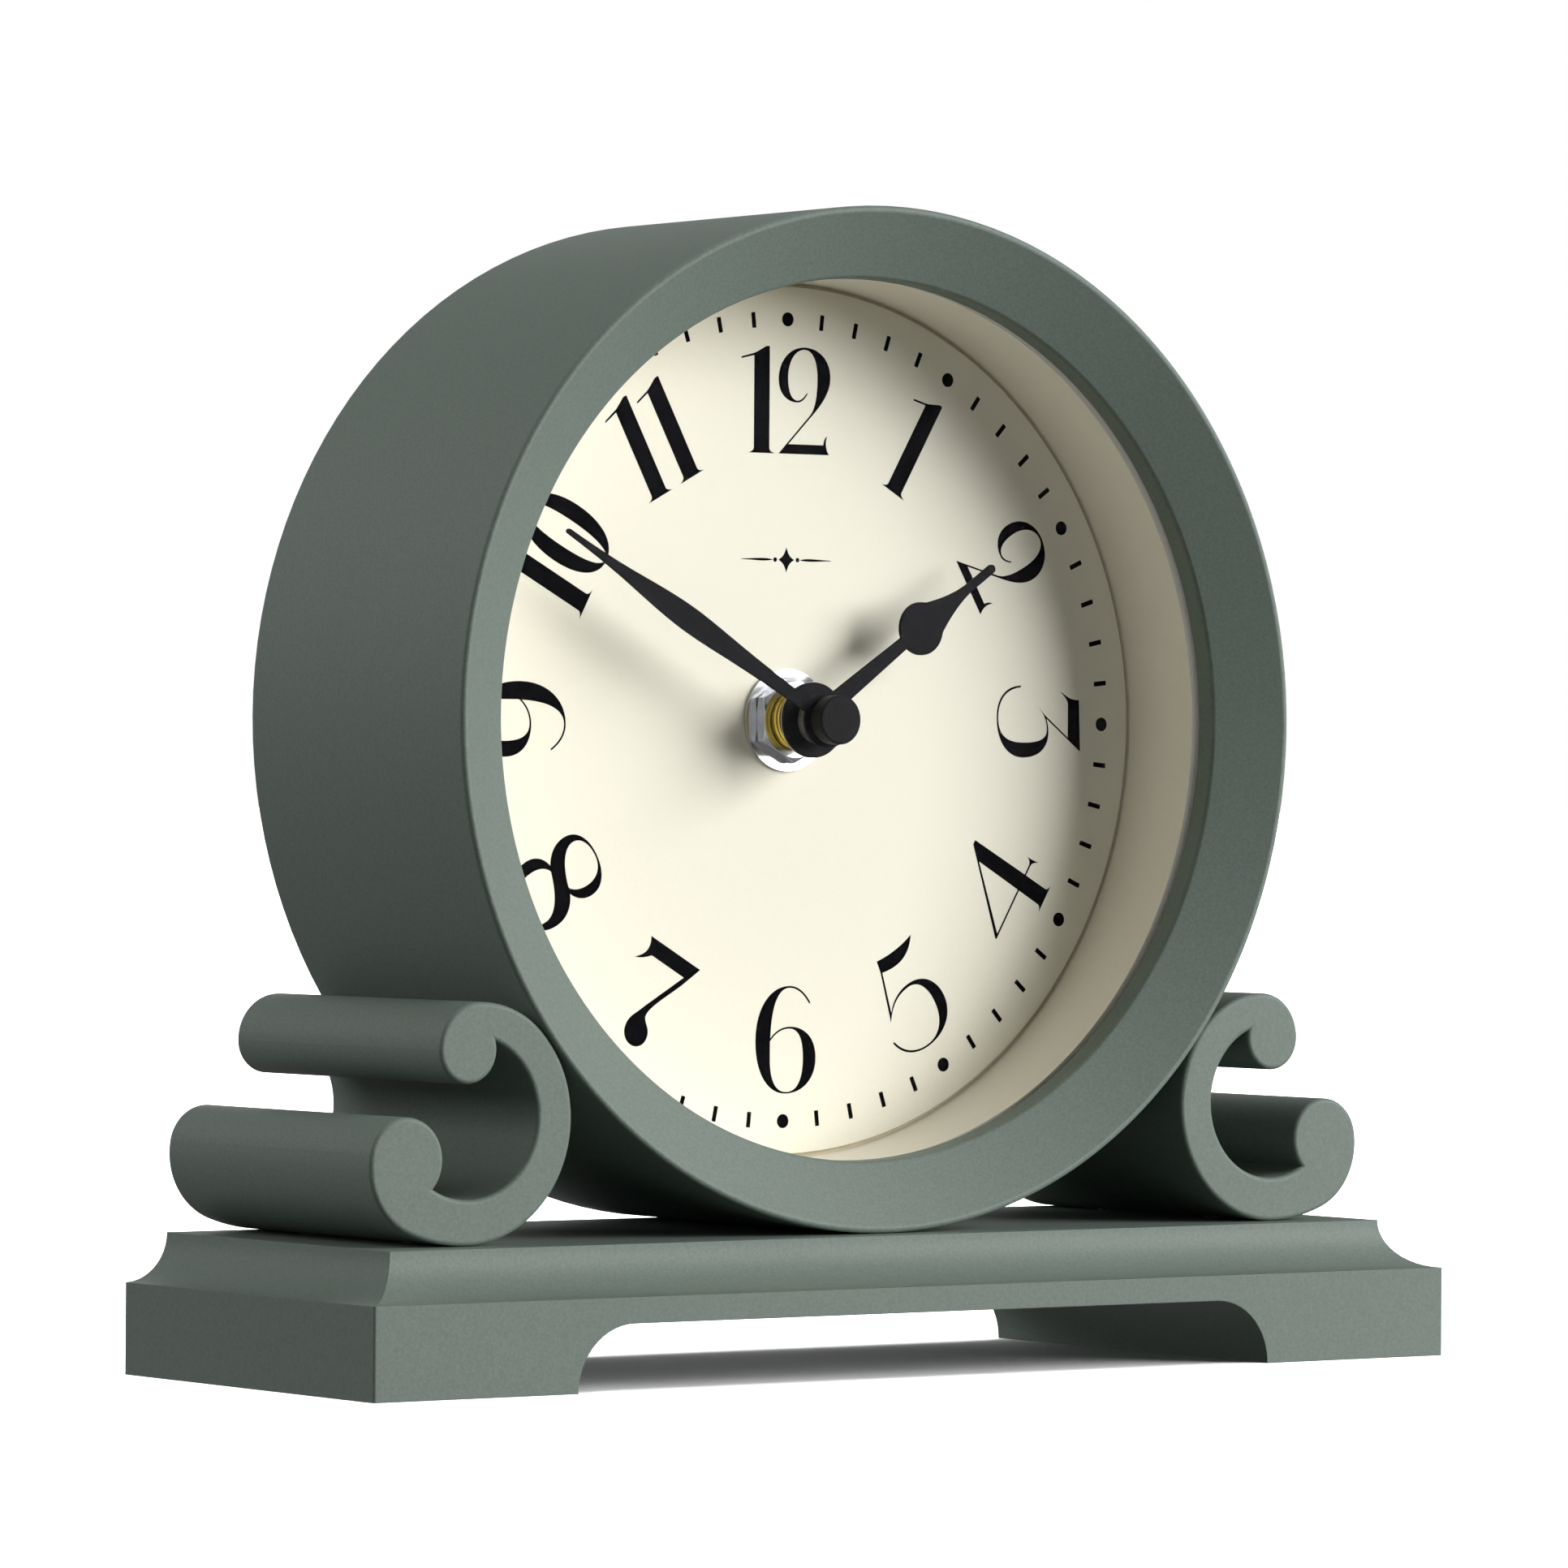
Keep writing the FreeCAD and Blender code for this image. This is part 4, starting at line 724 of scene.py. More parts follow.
class Numeral(Enum):
    """Dial figures in a high-contrast face: heavy stems, hairline joins, and flat or pointed ends."""

    ONE = Outline((
        ((1.25, 7.15), (0.7, 7.15), (0.1, 6.85, -0.7, 6.35, -1.3, 6.15), (-3.4, 5.6), (-3.45, 5.35),
         (-1.3, 5.85), (-1.3, -6.6), (-1.35, -6.95, -1.8, -7.15, -2.2, -7.25), (2.15, -7.25),
         (1.75, -7.15, 1.3, -6.95, 1.25, -6.6)),))
    TWO = Outline((
        ((0.5, 0.9), (0.1, 0.2, -0.5, -0.3, -1.2, -0.3), (-3.0, -0.3, -4.3, 0.9, -4.3, 2.8),
         (-4.3, 5.2, -2.5, 7.15, 0.0, 7.15), (2.6, 7.15, 4.3, 5.4, 4.3, 3.2),
         (4.3, 1.2, 2.9, -0.4, 1.35, -1.95), (-2.65, -5.95), (3.2, -5.95),
         (3.25, -5.4, 3.4, -5.0, 3.85, -4.7), (3.55, -5.3, 3.4, -6.3, 4.15, -7.25), (-4.25, -7.25),
         (1.0, -1.95), (1.9, -0.9, 2.15, 1.0, 2.15, 3.1), (2.15, 5.4, 1.3, 6.85, 0.0, 6.85),
         (-1.6, 6.85, -2.75, 5.2, -2.75, 3.0), (-2.75, 1.2, -2.2, 0.0, -1.2, -0.05),
         (-0.6, -0.05, 0.0, 0.4, 0.35, 1.0)),))
    THREE = Outline((
        ((-3.3, 6.9), (3.8, 7.15), (-0.7, 1.25), (-0.1, 1.5, 0.6, 1.6, 1.3, 1.6),
         (3.4, 1.6, 4.7, -0.2, 4.7, -2.8), (4.7, -5.6, 2.4, -7.35, -0.8, -7.35),
         (-3.4, -7.35, -5.1, -5.9, -5.2, -3.2), (-4.95, -3.2), (-4.75, -5.8, -3.1, -7.1, -0.8, -7.1),
         (1.7, -7.1, 2.65, -5.6, 2.65, -2.8), (2.65, -0.2, 2.2, 1.35, 0.9, 1.35),
         (-0.3, 1.35, -1.3, 0.9, -2.15, 0.0), (-1.0, 1.2), (1.9, 5.0), (-2.9, 5.0),
         (-3.5, 4.8, -3.9, 4.2, -4.45, 3.7), (-3.8, 4.8, -3.3, 5.4, -3.3, 6.9)),))
    FOUR = Outline((
        ((1.55, 7.2), (2.2, 7.2), (2.4, -2.6), (3.9, -2.6), (4.4, -2.5, 4.6, -2.2, 4.75, -1.75),
         (4.75, -2.5, 4.8, -3.1, 5.0, -3.8), (4.6, -3.2, 4.4, -2.9, 3.9, -2.85), (2.4, -2.85), (2.45, -6.7),
         (2.5, -7.0, 2.8, -7.2, 3.25, -7.3), (-0.85, -7.3), (-0.4, -7.2, -0.05, -7.0, 0.0, -6.7),
         (0.0, -2.85), (-7.7, -2.85), (-7.7, -2.65)),
        ((0.0, 5.15), (-7.0, -2.6), (0.0, -2.6))))
    FIVE = Outline((
        ((-2.8, 7.1), (-0.8, 6.8, 1.8, 6.8, 3.95, 7.4), (3.0, 5.9, 1.5, 5.0, -0.4, 5.0),
         (-1.2, 5.0, -2.0, 5.1, -2.75, 5.3), (-4.15, -0.25), (-3.0, 1.2, -1.4, 1.8, 0.3, 1.8),
         (3.0, 1.8, 4.8, -0.1, 4.8, -2.7), (4.8, -5.6, 2.2, -7.35, -0.9, -7.35),
         (-3.4, -7.35, -5.3, -6.1, -5.9, -4.0), (-5.65, -3.9), (-5.0, -5.9, -3.2, -7.1, -0.9, -7.1),
         (1.5, -7.1, 3.0, -5.4, 3.0, -2.7), (3.0, -0.2, 1.9, 1.4, 0.1, 1.4),
         (-2.2, 1.4, -3.6, 0.4, -4.8, -1.3), (-3.0, 5.4)),))
    SIX = Outline((
        ((4.5, 5.05), (3.6, 6.5, 2.4, 7.35, 1.0, 7.35), (-2.2, 7.35, -4.6, 4.4, -4.6, 0.0),
         (-4.6, -4.3, -2.6, -7.15, 0.4, -7.15), (3.3, -7.15, 5.4, -5.2, 5.4, -2.4),
         (5.4, 0.2, 3.7, 1.85, 1.1, 1.85), (-0.3, 1.85, -1.4, 1.2, -2.15, 0.3),
         (-2.0, 4.6, -0.9, 7.1, 1.0, 7.1), (2.3, 7.1, 3.4, 6.3, 4.3, 4.95)),
        ((-2.2, -0.1), (-1.4, 0.95, -0.3, 1.6, 1.0, 1.6), (2.5, 1.6, 3.3, 0.3, 3.3, -2.4),
         (3.3, -5.4, 2.3, -6.95, 0.5, -6.95), (-1.2, -6.95, -2.2, -5.4, -2.2, -2.6))))
    SEVEN = Outline((
        ((-4.35, 7.2), (4.85, 7.2), (3.3, 4.0), (2.0, 1.6, 0.2, -1.0, 0.2, -2.3),
         (0.2, -3.4, 1.85, -3.4, 1.85, -5.1), (1.85, -6.2, 1.0, -6.95, 0.0, -6.95),
         (-1.2, -6.95, -2.05, -6.0, -2.05, -4.8), (-2.05, -3.5, -1.3, -2.9, -0.6, -1.4),
         (3.05, 5.0), (-3.0, 5.0), (-3.6, 4.4, -4.3, 3.8, -5.35, 3.5),
         (-3.9, 4.6, -3.5, 5.8, -4.35, 7.2)),))
    EIGHT = Outline((
        ((0.3, 7.5), (2.9, 7.5, 4.65, 6.3, 4.65, 4.3), (4.65, 2.9, 3.9, 1.8, 2.75, 1.25),
         (4.3, 0.6, 5.35, -0.7, 5.35, -2.6), (5.35, -5.6, 3.1, -7.35, 0.4, -7.35),
         (-2.5, -7.35, -4.45, -5.6, -4.45, -2.9), (-4.45, -1.2, -3.5, -0.1, -2.05, 0.35),
         (-3.4, 1.1, -4.25, 2.3, -4.25, 3.9), (-4.25, 6.1, -2.4, 7.5, 0.3, 7.5)),
        ((0.4, 7.25), (2.1, 7.25, 3.15, 6.1, 3.15, 4.3), (3.15, 3.1, 2.7, 1.9, 1.9, 1.45),
         (-0.9, 2.0, -3.0, 3.3, -3.0, 4.9), (-3.0, 6.3, -1.6, 7.25, 0.4, 7.25)),
        ((-1.35, 0.05), (1.6, -0.6, 4.05, -1.9, 4.05, -3.9), (4.05, -6.0, 2.6, -7.1, 0.6, -7.1),
         (-1.4, -7.1, -2.75, -5.3, -2.75, -2.9), (-2.75, -1.4, -2.2, -0.4, -1.35, 0.05))))
    NINE = SIX.turned(180)
    ZERO = Outline((
        ((0.0, 7.35), (2.6, 7.35, 4.15, 4.4, 4.15, 0.0), (4.15, -4.4, 2.6, -7.35, 0.0, -7.35),
         (-2.6, -7.35, -4.15, -4.4, -4.15, 0.0), (-4.15, 4.4, -2.6, 7.35, 0.0, 7.35)),
        ((0.0, 7.15), (-1.2, 7.15, -1.85, 4.6, -1.85, 0.0), (-1.85, -4.6, -1.2, -7.15, 0.0, -7.15),
         (1.2, -7.15, 1.85, -4.6, 1.85, 0.0), (1.85, 4.6, 1.2, 7.15, 0.0, 7.15))))


class Reads(Enum):
    """Which way a figure's top points."""

    OUTWARD = 0.0
    INWARD = 180.0


@dataclass(frozen=True)
class HourMark:
    """One hour: its figures, each with a distance to the right, and how they stand on the dial."""

    hour: int
    figures: tuple[tuple[Numeral, float], ...]
    reads: Reads = Reads.OUTWARD
    lean: float = 0.0

    def outline(self, ring_mm: float) -> Outline:
        """The hour's figures in place on the dial.

        Args:
            ring_mm: The radius of the figures' middles.

        Returns:
            The outline about the dial's middle.
        """
        whole = Outline(())
        for figure, right in self.figures:
            whole = whole.joined(figure.value.moved(right, 0.0))
        up = ring_mm if self.reads is Reads.OUTWARD else -ring_mm
        return whole.turned(self.lean).moved(0.0, up).turned(30.0 * self.hour + self.reads.value)


@dataclass
class DialPrint:
    """Everything printed on the dial card: figures, the minute track and a small ornament."""

    figure_ring_mm: float = 43.15
    track_ring_mm: float = 54.0
    dot_radius_mm: float = 0.95
    bar_width_mm: float = 0.65
    bar_length_mm: float = 2.1
    ink_mm: float = 0.02
    ornament_up_mm: float = 21.6
    hours: tuple[HourMark, ...] = (
        HourMark(12, ((Numeral.ONE, -4.2), (Numeral.TWO, 2.85))),
        HourMark(1, ((Numeral.ONE, -0.15),)),
        HourMark(2, ((Numeral.TWO, -0.55),)),
        HourMark(3, ((Numeral.THREE, 0.0),)),
        HourMark(4, ((Numeral.FOUR, 0.0),), Reads.INWARD),
        HourMark(5, ((Numeral.FIVE, 0.0),), Reads.INWARD),
        HourMark(6, ((Numeral.SIX, 0.0),), Reads.INWARD),
        HourMark(7, ((Numeral.SEVEN, 0.0),), Reads.INWARD),
        HourMark(8, ((Numeral.EIGHT, 0.0),), Reads.INWARD),
        HourMark(9, ((Numeral.NINE, 0.1),)),
        HourMark(10, ((Numeral.ONE, -3.6), (Numeral.ZERO, 3.15)), lean=-2.0),
        HourMark(11, ((Numeral.ONE, -2.9), (Numeral.ONE, 2.9)), lean=1.8),
    )
    pieces: list[bpy.types.Object] = field(default_factory=list)

    def build(self) -> None:
        """Prints the figures, the track and the ornament."""
        figures = Outline(())
        for mark in self.hours:
            figures = figures.joined(mark.outline(self.figure_ring_mm))
        self.pieces.append(figures.cut("dial_figures", self.ink_mm, facing_front(0)))
        self.pieces.append(self.track().cut("minute_track", self.ink_mm, facing_front(0)))
        self.pieces.append(self.ornament().cut("dial_ornament", self.ink_mm, facing_front(0)))

    def track(self) -> Outline:
        """A dot at each hour and a bar at every other minute.

        Returns:
            The outline about the dial's middle.
        """
        track = Outline(())
        for minute in range(60):
            mark = disc(self.dot_radius_mm) if minute % 5 == 0 else bar(self.bar_width_mm, self.bar_length_mm)
            track = track.joined(mark.moved(0.0, self.track_ring_mm).turned(6.0 * minute))
        return track

    def ornament(self) -> Outline:
        """A lozenge with a tapering line and a point each side.

        Returns:
            The outline about the dial's middle.
        """
        lozenge = Outline((((0.0, 1.7), (0.25, 0.8, 0.6, 0.35, 1.3, 0.0), (0.6, -0.35, 0.25, -0.8, 0.0, -1.7),
                            (-0.25, -0.8, -0.6, -0.35, -1.3, 0.0), (-0.6, 0.35, -0.25, 0.8, 0.0, 1.7)),))
        whole = lozenge
        for side in (1.0, -1.0):
            taper = Outline((((2.2 * side, 0.0), (3.6 * side, 0.34, 5.0 * side, 0.1, 7.4 * side, 0.04),
                              (7.4 * side, -0.04), (5.0 * side, -0.1, 3.6 * side, -0.34, 2.2 * side, 0.0)),))
            whole = whole.joined(taper).joined(disc(0.3, 1.85 * side))
        return whole.moved(0.0, self.ornament_up_mm)

    def dress(self) -> None:
        """Inks every printed piece and fixes it to the case."""
        for piece in self.pieces:
            Surface.INK.value.dress(piece)
            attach(piece, "case")
            LOG.info("printed %s, %d faces", piece.name, len(piece.data.polygons))


# ---------------------------------------------------------------- lens and hand stack

@dataclass
class GroundLens:
    """The flat lens with its edge ground round, a hair clear of the lip and the sleeve."""

    edge_mm: float = 0.3
    clear_mm: float = 0.05
    piece: bpy.types.Object | None = None

    def build(self) -> None:
        """Cuts the lens inside the room of the plain one."""
        low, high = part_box("lens")
        radius = (high.x - low.x) / 2 / MM - self.clear_mm
        thick = (high.y - low.y) / MM - 2 * self.clear_mm
        seat = facing_front((AXIS.y - high.y) / MM + self.clear_mm)
        self.piece = disc(radius).cut("ground_lens", thick, seat, self.edge_mm, fineness=48)

    def dress(self) -> None:
        """Makes it glass, in place of the plain lens."""
        Surface.GLASS.value.dress(self.piece)
        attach(self.piece, "case")
        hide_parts("lens")
        LOG.info("ground %s", self.piece.name)


@dataclass
class HandStack:
    """Small parts of the hand stack: the bush's thread, a thin light ring round the hour boss and the
    collet's seal.
    """

    face_flats_mm: float = 4.5
    bore_mm: float = 2.45
    bore_share: float = 0.8
    skin_mm: float = 0.04
    rim_mm: float = 0.22
    rim_wall_mm: float = 0.9
    rim_proud_mm: float = 0.04
    rim_edge_mm: float = 0.05
    pitch_mm: float = 0.75
    thread_mm: float = 0.2
    root_mm: float = 0.02
    flank_share: float = 0.45
    steps: int = 48
    seal: bpy.types.Object | None = None
    rim: bpy.types.Object | None = None
    thread: bpy.types.Object | None = None

    def build(self) -> None:
        """Makes the black seal inside the hexagon's bright edge, a thin light nickel-finished ring just proud
        of the hour boss, and the thread.
        """
        reach = self.face_flats_mm / math.sqrt(3)
        corners = tuple((reach * math.sin(math.radians(60 * k)), reach * math.cos(math.radians(60 * k)))
                        for k in range(6))
        seal = Outline((corners,)).joined(disc(self.bore_mm * self.bore_share))
        front = (AXIS.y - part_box("hour_hand_collet")[0].y) / MM
        self.seal = seal.cut("hour_collet_seal", self.skin_mm, facing_front(front))
        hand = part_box("hour_hand")
        boss = (AXIS.x - hand[0].x) / MM
        behind = (AXIS.y - hand[1].y) / MM - self.rim_mm
        # A thin light ring behind the hour hand, standing just proud of its boss, so that a thin light line
        # shows round the boss's edge.
        rim = disc(boss + self.rim_proud_mm).joined(disc(boss - self.rim_wall_mm))
        self.rim = rim.cut("hour_boss_rim", self.rim_mm, facing_front(behind), self.rim_edge_mm)
        self.thread = self.wind_thread()

    def wind_thread(self) -> bpy.types.Object:
        """Winds a three-cornered ridge round the bush, from the nut's face to the bush's end.

        Returns:
            The thread.
        """
        bush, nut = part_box("threaded_bush"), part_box("hex_nut")
        root = (bush[1].x - bush[0].x) / 2 - self.root_mm * MM
        crest = root + self.thread_mm * MM
        run = nut[0].y - bush[0].y - self.pitch_mm * MM
        turns = run / (self.pitch_mm * MM)
        count = int(turns * self.steps)
        verts: list[Vector] = []
        for index in range(count + 1):
            angle = 2 * math.pi * index / self.steps
            along = nut[0].y - run * index / count
            spoke = Vector((math.cos(angle), 0, math.sin(angle)))
            rise = crest if 0 < index < count else root
            flank = self.pitch_mm * MM * self.flank_share
            for reach, shift in ((root, 0.0), (rise, -flank), (root, -2 * flank)):
                verts.append(Vector((AXIS.x, along + shift, AXIS.z)) + spoke * reach)
        faces = [(0, 1, 2), (3 * count + 2, 3 * count + 1, 3 * count)]
        for index in range(count):
            for side in range(3):
                here, there = 3 * index + side, 3 * index + (side + 1) % 3
                faces.append((there, here, here + 3, there + 3))
        mesh = bpy.data.meshes.new("bush_thread")
        mesh.from_pydata(verts, [], faces)
        close_mesh(mesh)
        return add_object("bush_thread", mesh)

    def dress(self) -> None:
        """Finishes the three and lets the rim and the seal turn with the hour hand."""
        for piece, surface, body, slot in (
                (self.seal, Surface.CAP, "hour_hand_group", "cap_black"),
                (self.rim, Surface.NICKEL, "hour_hand_group", "nickel"),
                (self.thread, Surface.BRASS, "case", "brass")):
            surface.value.dress(piece)
            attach(piece, body)
            LOG.info("seated %s", piece.name)


# ---------------------------------------------------------------- back of the clock

@dataclass
class MovementMarks:
    """Moulded marks on the movement's back: a raised border, setting arrows and the cell's signs."""

    border_mm: float = 1.0
    inset_mm: float = 1.6
    rise_mm: float = 0.3
    arrow_ring_mm: float = 8.8
    arrow_sweep: float = 32.0
    shaft_mm: float = 0.3
    barb_mm: float = 0.75
    barb_long_mm: float = 2.6
    sign_mm: float = 3.0
    sign_out_mm: float = 20.0
    sign_up_mm: float = 2.6
    edge_mm: float = 0.05
    grip_ridges: int = 32
    grip_mm: float = 0.3
    grip_long_mm: float = 2.2
    grip_sunk_mm: float = 2.6
    rim_in_mm: float = 0.9
    rim_wide_mm: float = 0.7
    rim_rise_mm: float = 0.25
    pieces: list[bpy.types.Object] = field(default_factory=list)
    grips: list[bpy.types.Object] = field(default_factory=list)

    def build(self) -> None:
        """Makes the border, the arrows, the signs and the knob's finger grip."""
        low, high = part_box("movement_cover")
        middle = (low + high) / 2
        width, height = (high.x - low.x) / MM, (high.z - low.z) / MM
        outer = bar(width - 2 * self.inset_mm, height - 2 * self.inset_mm)
        margin = 2 * (self.inset_mm + self.border_mm)
        inner = bar(width - margin, height - margin)
        seat = facing_back(Vector((middle.x, high.y, middle.z)))
        self.pieces.append(outer.joined(inner).cut("cover_border", self.rise_mm, seat, 0.08))
        knob_low, knob_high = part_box("setting_knob")
        knob = Vector(((knob_low.x + knob_high.x) / 2, high.y, (knob_low.z + knob_high.z) / 2))
        self.pieces.append(self.arrows().cut("setting_arrows", self.rise_mm, facing_back(knob), self.edge_mm))
        self.pieces.append(self.signs(low.z, middle.x, high.y))
        radius = (knob_high.x - knob_low.x) / 2 / MM
        grip = ringed(radius + self.grip_mm, self.grip_ridges, self.grip_mm).joined(
            disc(radius - self.edge_mm))
        face = Vector((knob.x, knob_high.y, knob.z))
        sunk = face - Vector((0, self.grip_sunk_mm * MM, 0))
        self.grips.append(grip.cut("knob_grip", self.grip_long_mm, facing_back(sunk), self.edge_mm))
        rim = disc(radius - self.rim_in_mm).joined(disc(radius - self.rim_in_mm - self.rim_wide_mm))
        self.grips.append(rim.cut("knob_rim", self.rim_rise_mm, facing_back(face), self.edge_mm))

    def arrows(self) -> Outline:
        """Two bent arrows that run the same way round the knob.

        Returns:
            The outline about the knob's middle.
        """
        sweep = math.radians(self.arrow_sweep)
        out, inside = self.arrow_ring_mm + self.shaft_mm, self.arrow_ring_mm - self.shaft_mm

        def at(reach: float, angle: float, along: float = 0.0) -> Step:
            """A point on a ring, moved along the ring's tangent."""
            return (reach * math.sin(angle) + along * math.cos(angle),
                    reach * math.cos(angle) - along * math.sin(angle))

        handle = 4 / 3 * math.tan(sweep / 2)
        shaft = (at(out, -sweep),
                 at(out, -sweep, handle * out) + at(out, sweep, -handle * out) + at(out, sweep),
                 at(out + self.barb_mm, sweep), at(self.arrow_ring_mm, sweep, self.barb_long_mm),
                 at(inside - self.barb_mm, sweep), at(inside, sweep),
                 at(inside, sweep, -handle * inside) + at(inside, -sweep, handle * inside)
                 + at(inside, -sweep))
        arrow = Outline((shaft,))
        return arrow.turned(-60).joined(arrow.turned(120))

    def signs(self, edge: float, middle: float, back: float) -> bpy.types.Object:
        """The plus and minus signs over the two ends of the cell.

        Args:
            edge: The height of the cover's lower edge, in metres.
            middle: The cover's middle, across.
            back: The cover's back face.

        Returns:
            The piece.
        """
        arm, bold = self.sign_mm, self.sign_mm / 4
        both = cross(arm, bold).moved(-self.sign_out_mm, 0.0).joined(
            bar(arm, bold).moved(self.sign_out_mm, 0.0))
        at = Vector((middle, back, edge + (self.inset_mm + self.border_mm + self.sign_up_mm) * MM))
        return both.cut("polarity_signs", self.rise_mm, facing_back(at), self.edge_mm)

    def dress(self) -> None:
        """Gives the marks the cover's plastic and the grip the knob's."""
        for piece in self.pieces:
            Surface.ABS.value.dress(piece)
            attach(piece, "case")
            LOG.info("moulded %s", piece.name)
        for piece in self.grips:
            Surface.ACETAL.value.dress(piece)
            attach(piece, "setting_knob")
            LOG.info("moulded %s", piece.name)


@dataclass
class ScrewHeads:
    """Cross-slotted heads on the screws of the back panel and the plinth, each left at its own turn."""

    slot_long_mm: float = 3.1
    slot_wide_mm: float = 0.75
    dome_mm: float = 0.25
    edge_mm: float = 0.1
    clear_mm: float = 0.05
    first_turn: float = 17.0
    next_turn: float = 41.0
    apart_mm: float = 7.0
    level_mm: float = 0.01
    pieces: list[bpy.types.Object] = field(default_factory=list)

    def build(self) -> None:
        """Caps each screw with a slotted head."""
        for node, down in (("panel_screws", False), ("plinth_screws", True)):
            for number, (middle, radius) in enumerate(self.heads(node, down)):
                slots = cross(self.slot_long_mm, self.slot_wide_mm)
                head = disc(radius - self.clear_mm).joined(
                    slots.turned(self.first_turn + self.next_turn * number))
                seat = (Matrix.Translation(middle) @ Matrix.Rotation(math.pi, 4, "X") if down
                        else facing_back(middle))
                self.pieces.append(head.cut("%s_slot_%d" % (node, number), self.dome_mm, seat, self.edge_mm))

    def heads(self, node: str, down: bool) -> list[tuple[Vector, float]]:
        """Where a node's screw heads face out.

        Args:
            node: The node that holds the screws.
            down: True where the heads face the floor, and False where they face the back.

        Returns:
            Each head's middle, and its radius in millimetres.
        """
        low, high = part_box(node)
        level = low.z if down else high.y
        points = [v.co.copy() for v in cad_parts[node].data.vertices
                  if abs((v.co.z if down else v.co.y) - level) < self.level_mm * MM]
        groups: list[list[Vector]] = []
        for point in points:
            near = next((g for g in groups if (g[0] - point).length < self.apart_mm * MM), None)
            if near is None:
                groups.append([point])
            else:
                near.append(point)
        found = []
        for group in groups:
            ends = [Vector([pick(p[axis] for p in group) for axis in range(3)]) for pick in (min, max)]
            found.append(((ends[0] + ends[1]) / 2, (ends[1].x - ends[0].x) / 2 / MM))
        return found

    def dress(self) -> None:
        """Plates the heads and fixes them to the case."""
        for piece in self.pieces:
            Surface.ZINC.value.dress(piece)
            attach(piece, "case")
        LOG.info("cut %d screw slots", len(self.pieces))


# ---------------------------------------------------------------- studio

@dataclass(frozen=True)
class SoftBox:
    """A square studio light.

    Its direction is given as the camera operator would: degrees round to the right from straight in
    front of the dial, degrees up, and metres away.
    """

    name: str
    around: float
    up: float
    distance: float
    side: float
    watts: float

    def hang(self, target: Vector) -> bpy.types.Object:
        """Hangs the light and aims it.

        Args:
            target: What it points at.

        Returns:
            The light.
        """
        a, e = math.radians(self.around), math.radians(self.up)
        away = Vector((math.sin(a) * math.cos(e), -math.cos(a) * math.cos(e), math.sin(e)))
        data = bpy.data.lights.new(self.name, "AREA")
        data.shape = "SQUARE"
        data.size = self.side
        data.energy = self.watts
        light = add_object(self.name, data)
        light.location = target + away * self.distance
        light.rotation_euler = away.to_track_quat("Z", "Y").to_euler()
        return light


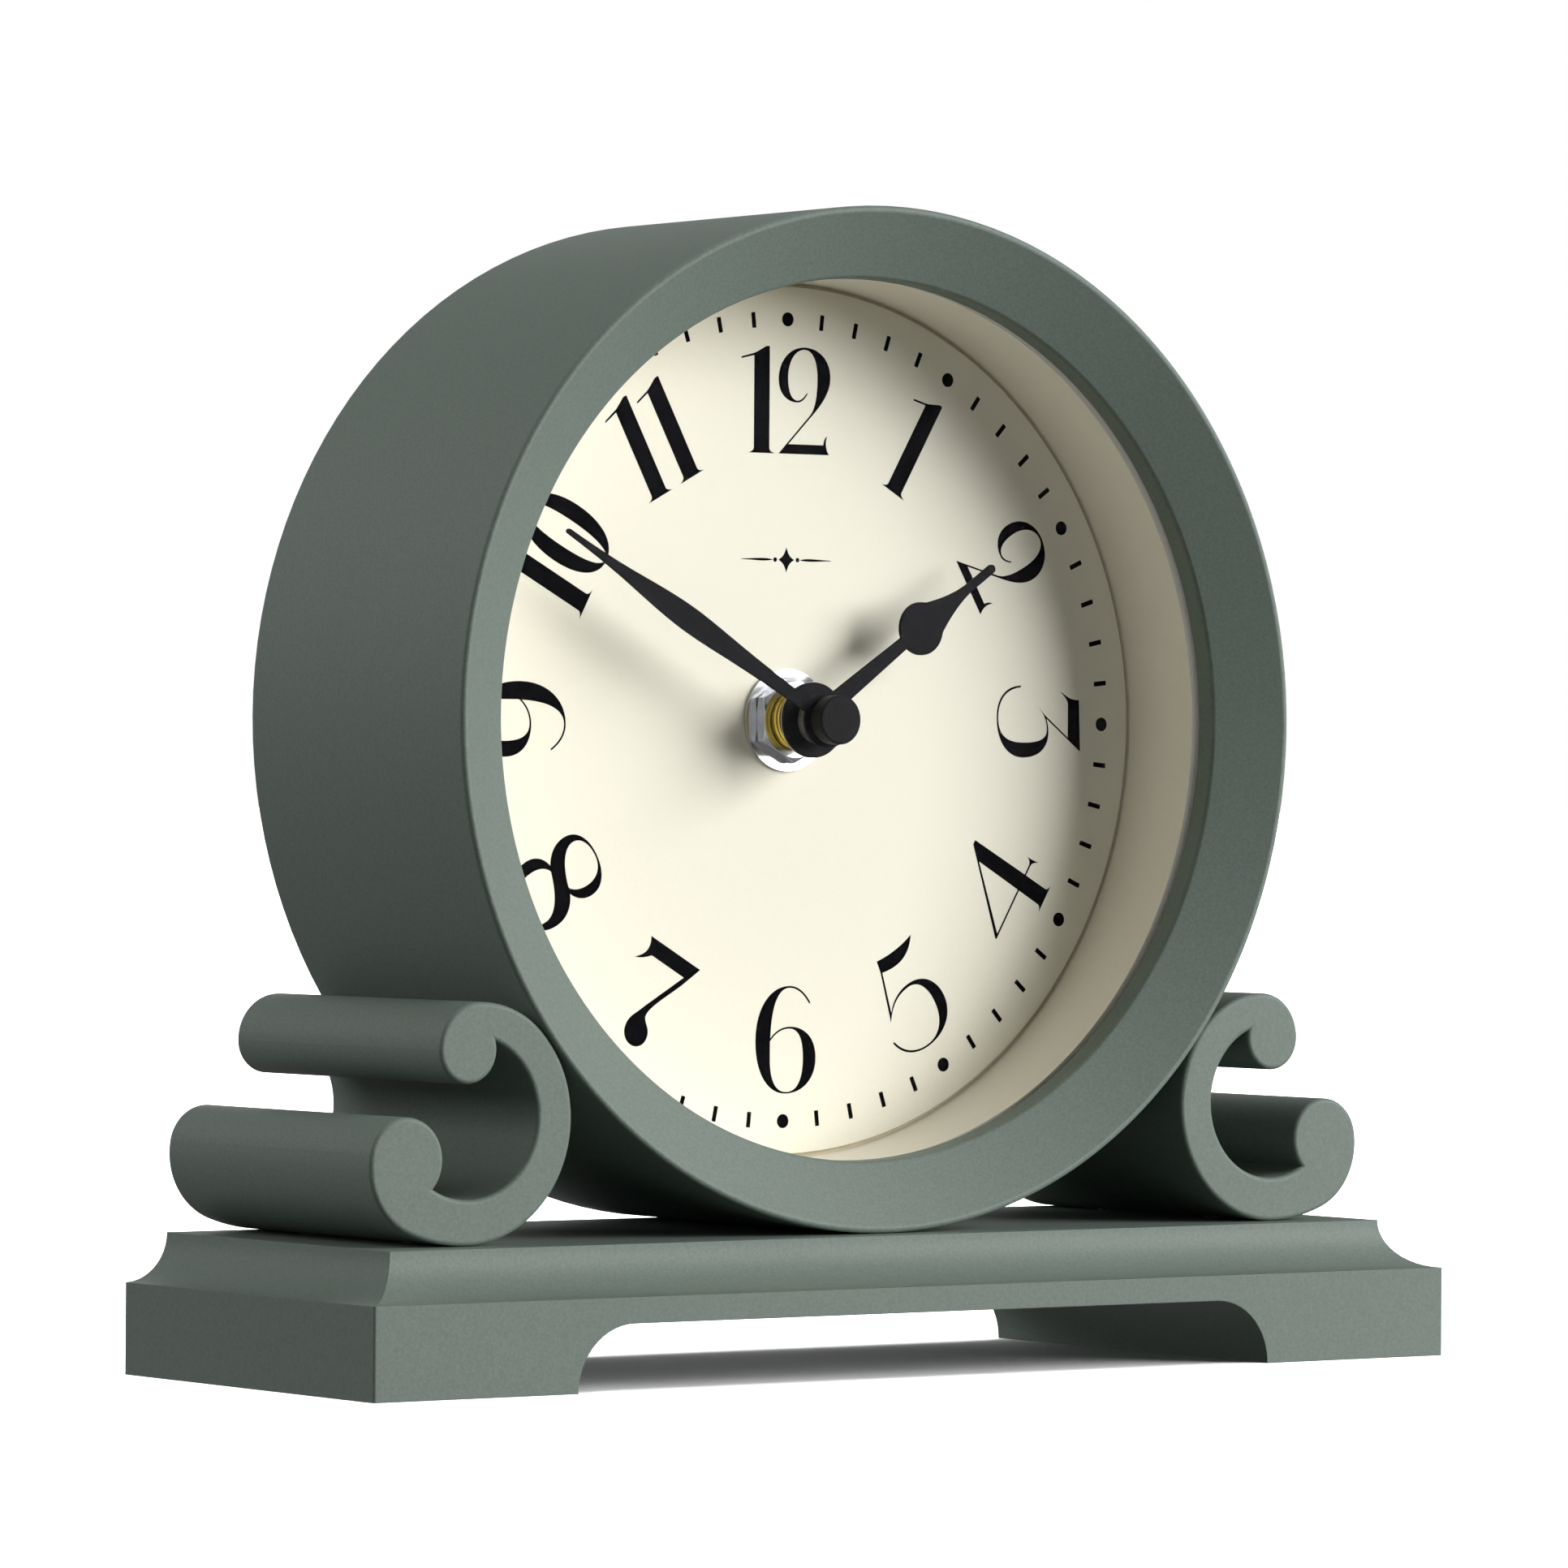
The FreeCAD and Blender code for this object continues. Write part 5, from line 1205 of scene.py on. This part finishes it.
@dataclass
class Studio:
    """A white sweep, five soft boxes, a fill for the sleeve alone, a wash for the floor alone, and the
    camera."""

    boxes: tuple[SoftBox, ...] = (
        SoftBox("key_box", 44.0, 16.0, 2.0, 1.35, 61.0),
        SoftBox("left_box", -120.0, 25.0, 1.8, 1.2, 14.0),
        SoftBox("top_box", 180.0, 78.0, 1.8, 1.2, 8.0),
        SoftBox("front_box", -25.0, -4.0, 2.4, 1.6, 3.2),
        SoftBox("rear_box", 165.0, 3.0, 2.2, 1.2, 8.0),
    )
    floor_side: float = 80.0
    wash_strength: float = 9.0
    wash_spread: float = 70.0
    room_grey: float = 0.08
    mirrored_grey: float = 0.3
    sleeve_fill: SoftBox = SoftBox("sleeve_fill", -36.0, -24.0, 2.0, 1.4, 15.0)
    aim: tuple[float, float, float] = (0.0, 0.0, 0.07)
    camera_mm: tuple[float, float, float] = (-647.8, -893.0, 76.1)
    camera_round: float = 35.84
    camera_lift: float = 0.096
    camera_roll: float = 0.374
    lens_mm: float = 188.55

    def build(self) -> None:
        """Lays the floor, hangs the lights and sets the camera."""
        scene = bpy.context.scene
        scene.view_settings.view_transform = "Standard"
        scene.view_settings.look = "None"
        floor = self.floor()
        for box in self.boxes:
            box.hang(Vector(self.aim))
        self.wash(floor)
        self.link(self.sleeve_fill.hang(Vector(self.aim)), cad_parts["inner_sleeve"])
        self.room(scene)
        self.camera(scene)

    def floor(self) -> bpy.types.Object:
        """A seamless pale sweep that shows shadows and throws little light back.

        Returns:
            The floor.
        """
        half = self.floor_side / 2
        mesh = bpy.data.meshes.new("studio_floor")
        mesh.from_pydata([(-half, -half, 0), (half, -half, 0), (half, half, 0), (-half, half, 0)], [],
                         [(0, 1, 2, 3)])
        floor = add_object("studio_floor", mesh)
        floor.visible_diffuse = False
        floor.visible_glossy = False
        PrintedCard("studio_paper", "#F4F4F4", 0.9, low="#F2F2F2", high="#F6F6F6").dress(floor)
        return floor

    def wash(self, floor: bpy.types.Object) -> None:
        """Lights the floor alone from overhead, so that it is white round a soft shadow.

        Args:
            floor: The floor.
        """
        data = bpy.data.lights.new("floor_wash", "SUN")
        data.energy = self.wash_strength
        data.angle = math.radians(self.wash_spread)
        self.link(add_object("floor_wash", data), floor)

    def link(self, light: bpy.types.Object, *receivers: bpy.types.Object) -> None:
        """Lets a light reach only these pieces.

        Args:
            light: The light.
            receivers: The pieces that it lights.
        """
        lit = bpy.data.collections.new(light.name + "_reach")
        for piece in receivers:
            lit.objects.link(piece)
        light.light_linking.receiver_collection = lit

    def room(self, scene: bpy.types.Scene) -> None:
        """A white backdrop beyond the floor, and a dim even room for everything else.

        Args:
            scene: The scene.
        """
        world = bpy.data.worlds.new("studio_room")
        scene.world = world
        world.use_nodes = True
        tree = world.node_tree
        tree.nodes.clear()
        path = add_node(tree, "ShaderNodeLightPath").outputs
        level = add_node(tree, "ShaderNodeMapRange", {
            "Value": path["Is Glossy Ray"], "To Min": self.room_grey, "To Max": self.mirrored_grey})
        dim = add_node(tree, "ShaderNodeBackground", {
            "Color": linear("#FFFFFF"), "Strength": level.outputs["Result"]})
        white = add_node(tree, "ShaderNodeBackground", {"Color": linear("#FFFFFF"), "Strength": 1.0})
        both = add_node(tree, "ShaderNodeMixShader", {
            0: path["Is Camera Ray"], 1: dim.outputs["Background"], 2: white.outputs["Background"]})
        add_node(tree, "ShaderNodeOutputWorld", {"Surface": both.outputs["Shader"]})

    def camera(self, scene: bpy.types.Scene) -> None:
        """Sets a long lens just above the plinth, round to the left of the dial.

        Args:
            scene: The scene.
        """
        data = bpy.data.cameras.new("clock_camera")
        data.lens = self.lens_mm
        data.sensor_width = 36.0
        data.clip_end = 200.0
        camera = add_object("clock_camera", data)
        camera.matrix_world = (
            Matrix.Translation(Vector(self.camera_mm) * MM)
            @ Matrix.Rotation(math.radians(-self.camera_round), 4, "Z")
            @ Matrix.Rotation(math.radians(90 + self.camera_lift), 4, "X")
            @ Matrix.Rotation(math.radians(self.camera_roll), 4, "Z"))
        scene.camera = camera


def dress_nodes() -> None:
    """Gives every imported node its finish."""
    for surface, nodes in NODE_SURFACES.items():
        surface.value.dress(*(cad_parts[node] for node in nodes))
        LOG.info("%s on %s", surface.value.name, ", ".join(nodes))


def main() -> None:
    """Builds the clock's looks and its studio."""
    logging.basicConfig(level=logging.INFO, format="%(name)s: %(message)s")
    dress_nodes()
    for part in (DialPrint(), GroundLens(), HandStack(), MovementMarks(), ScrewHeads()):
        part.build()
        part.dress()
    Studio().build()


if __name__ == "__main__":
    main()
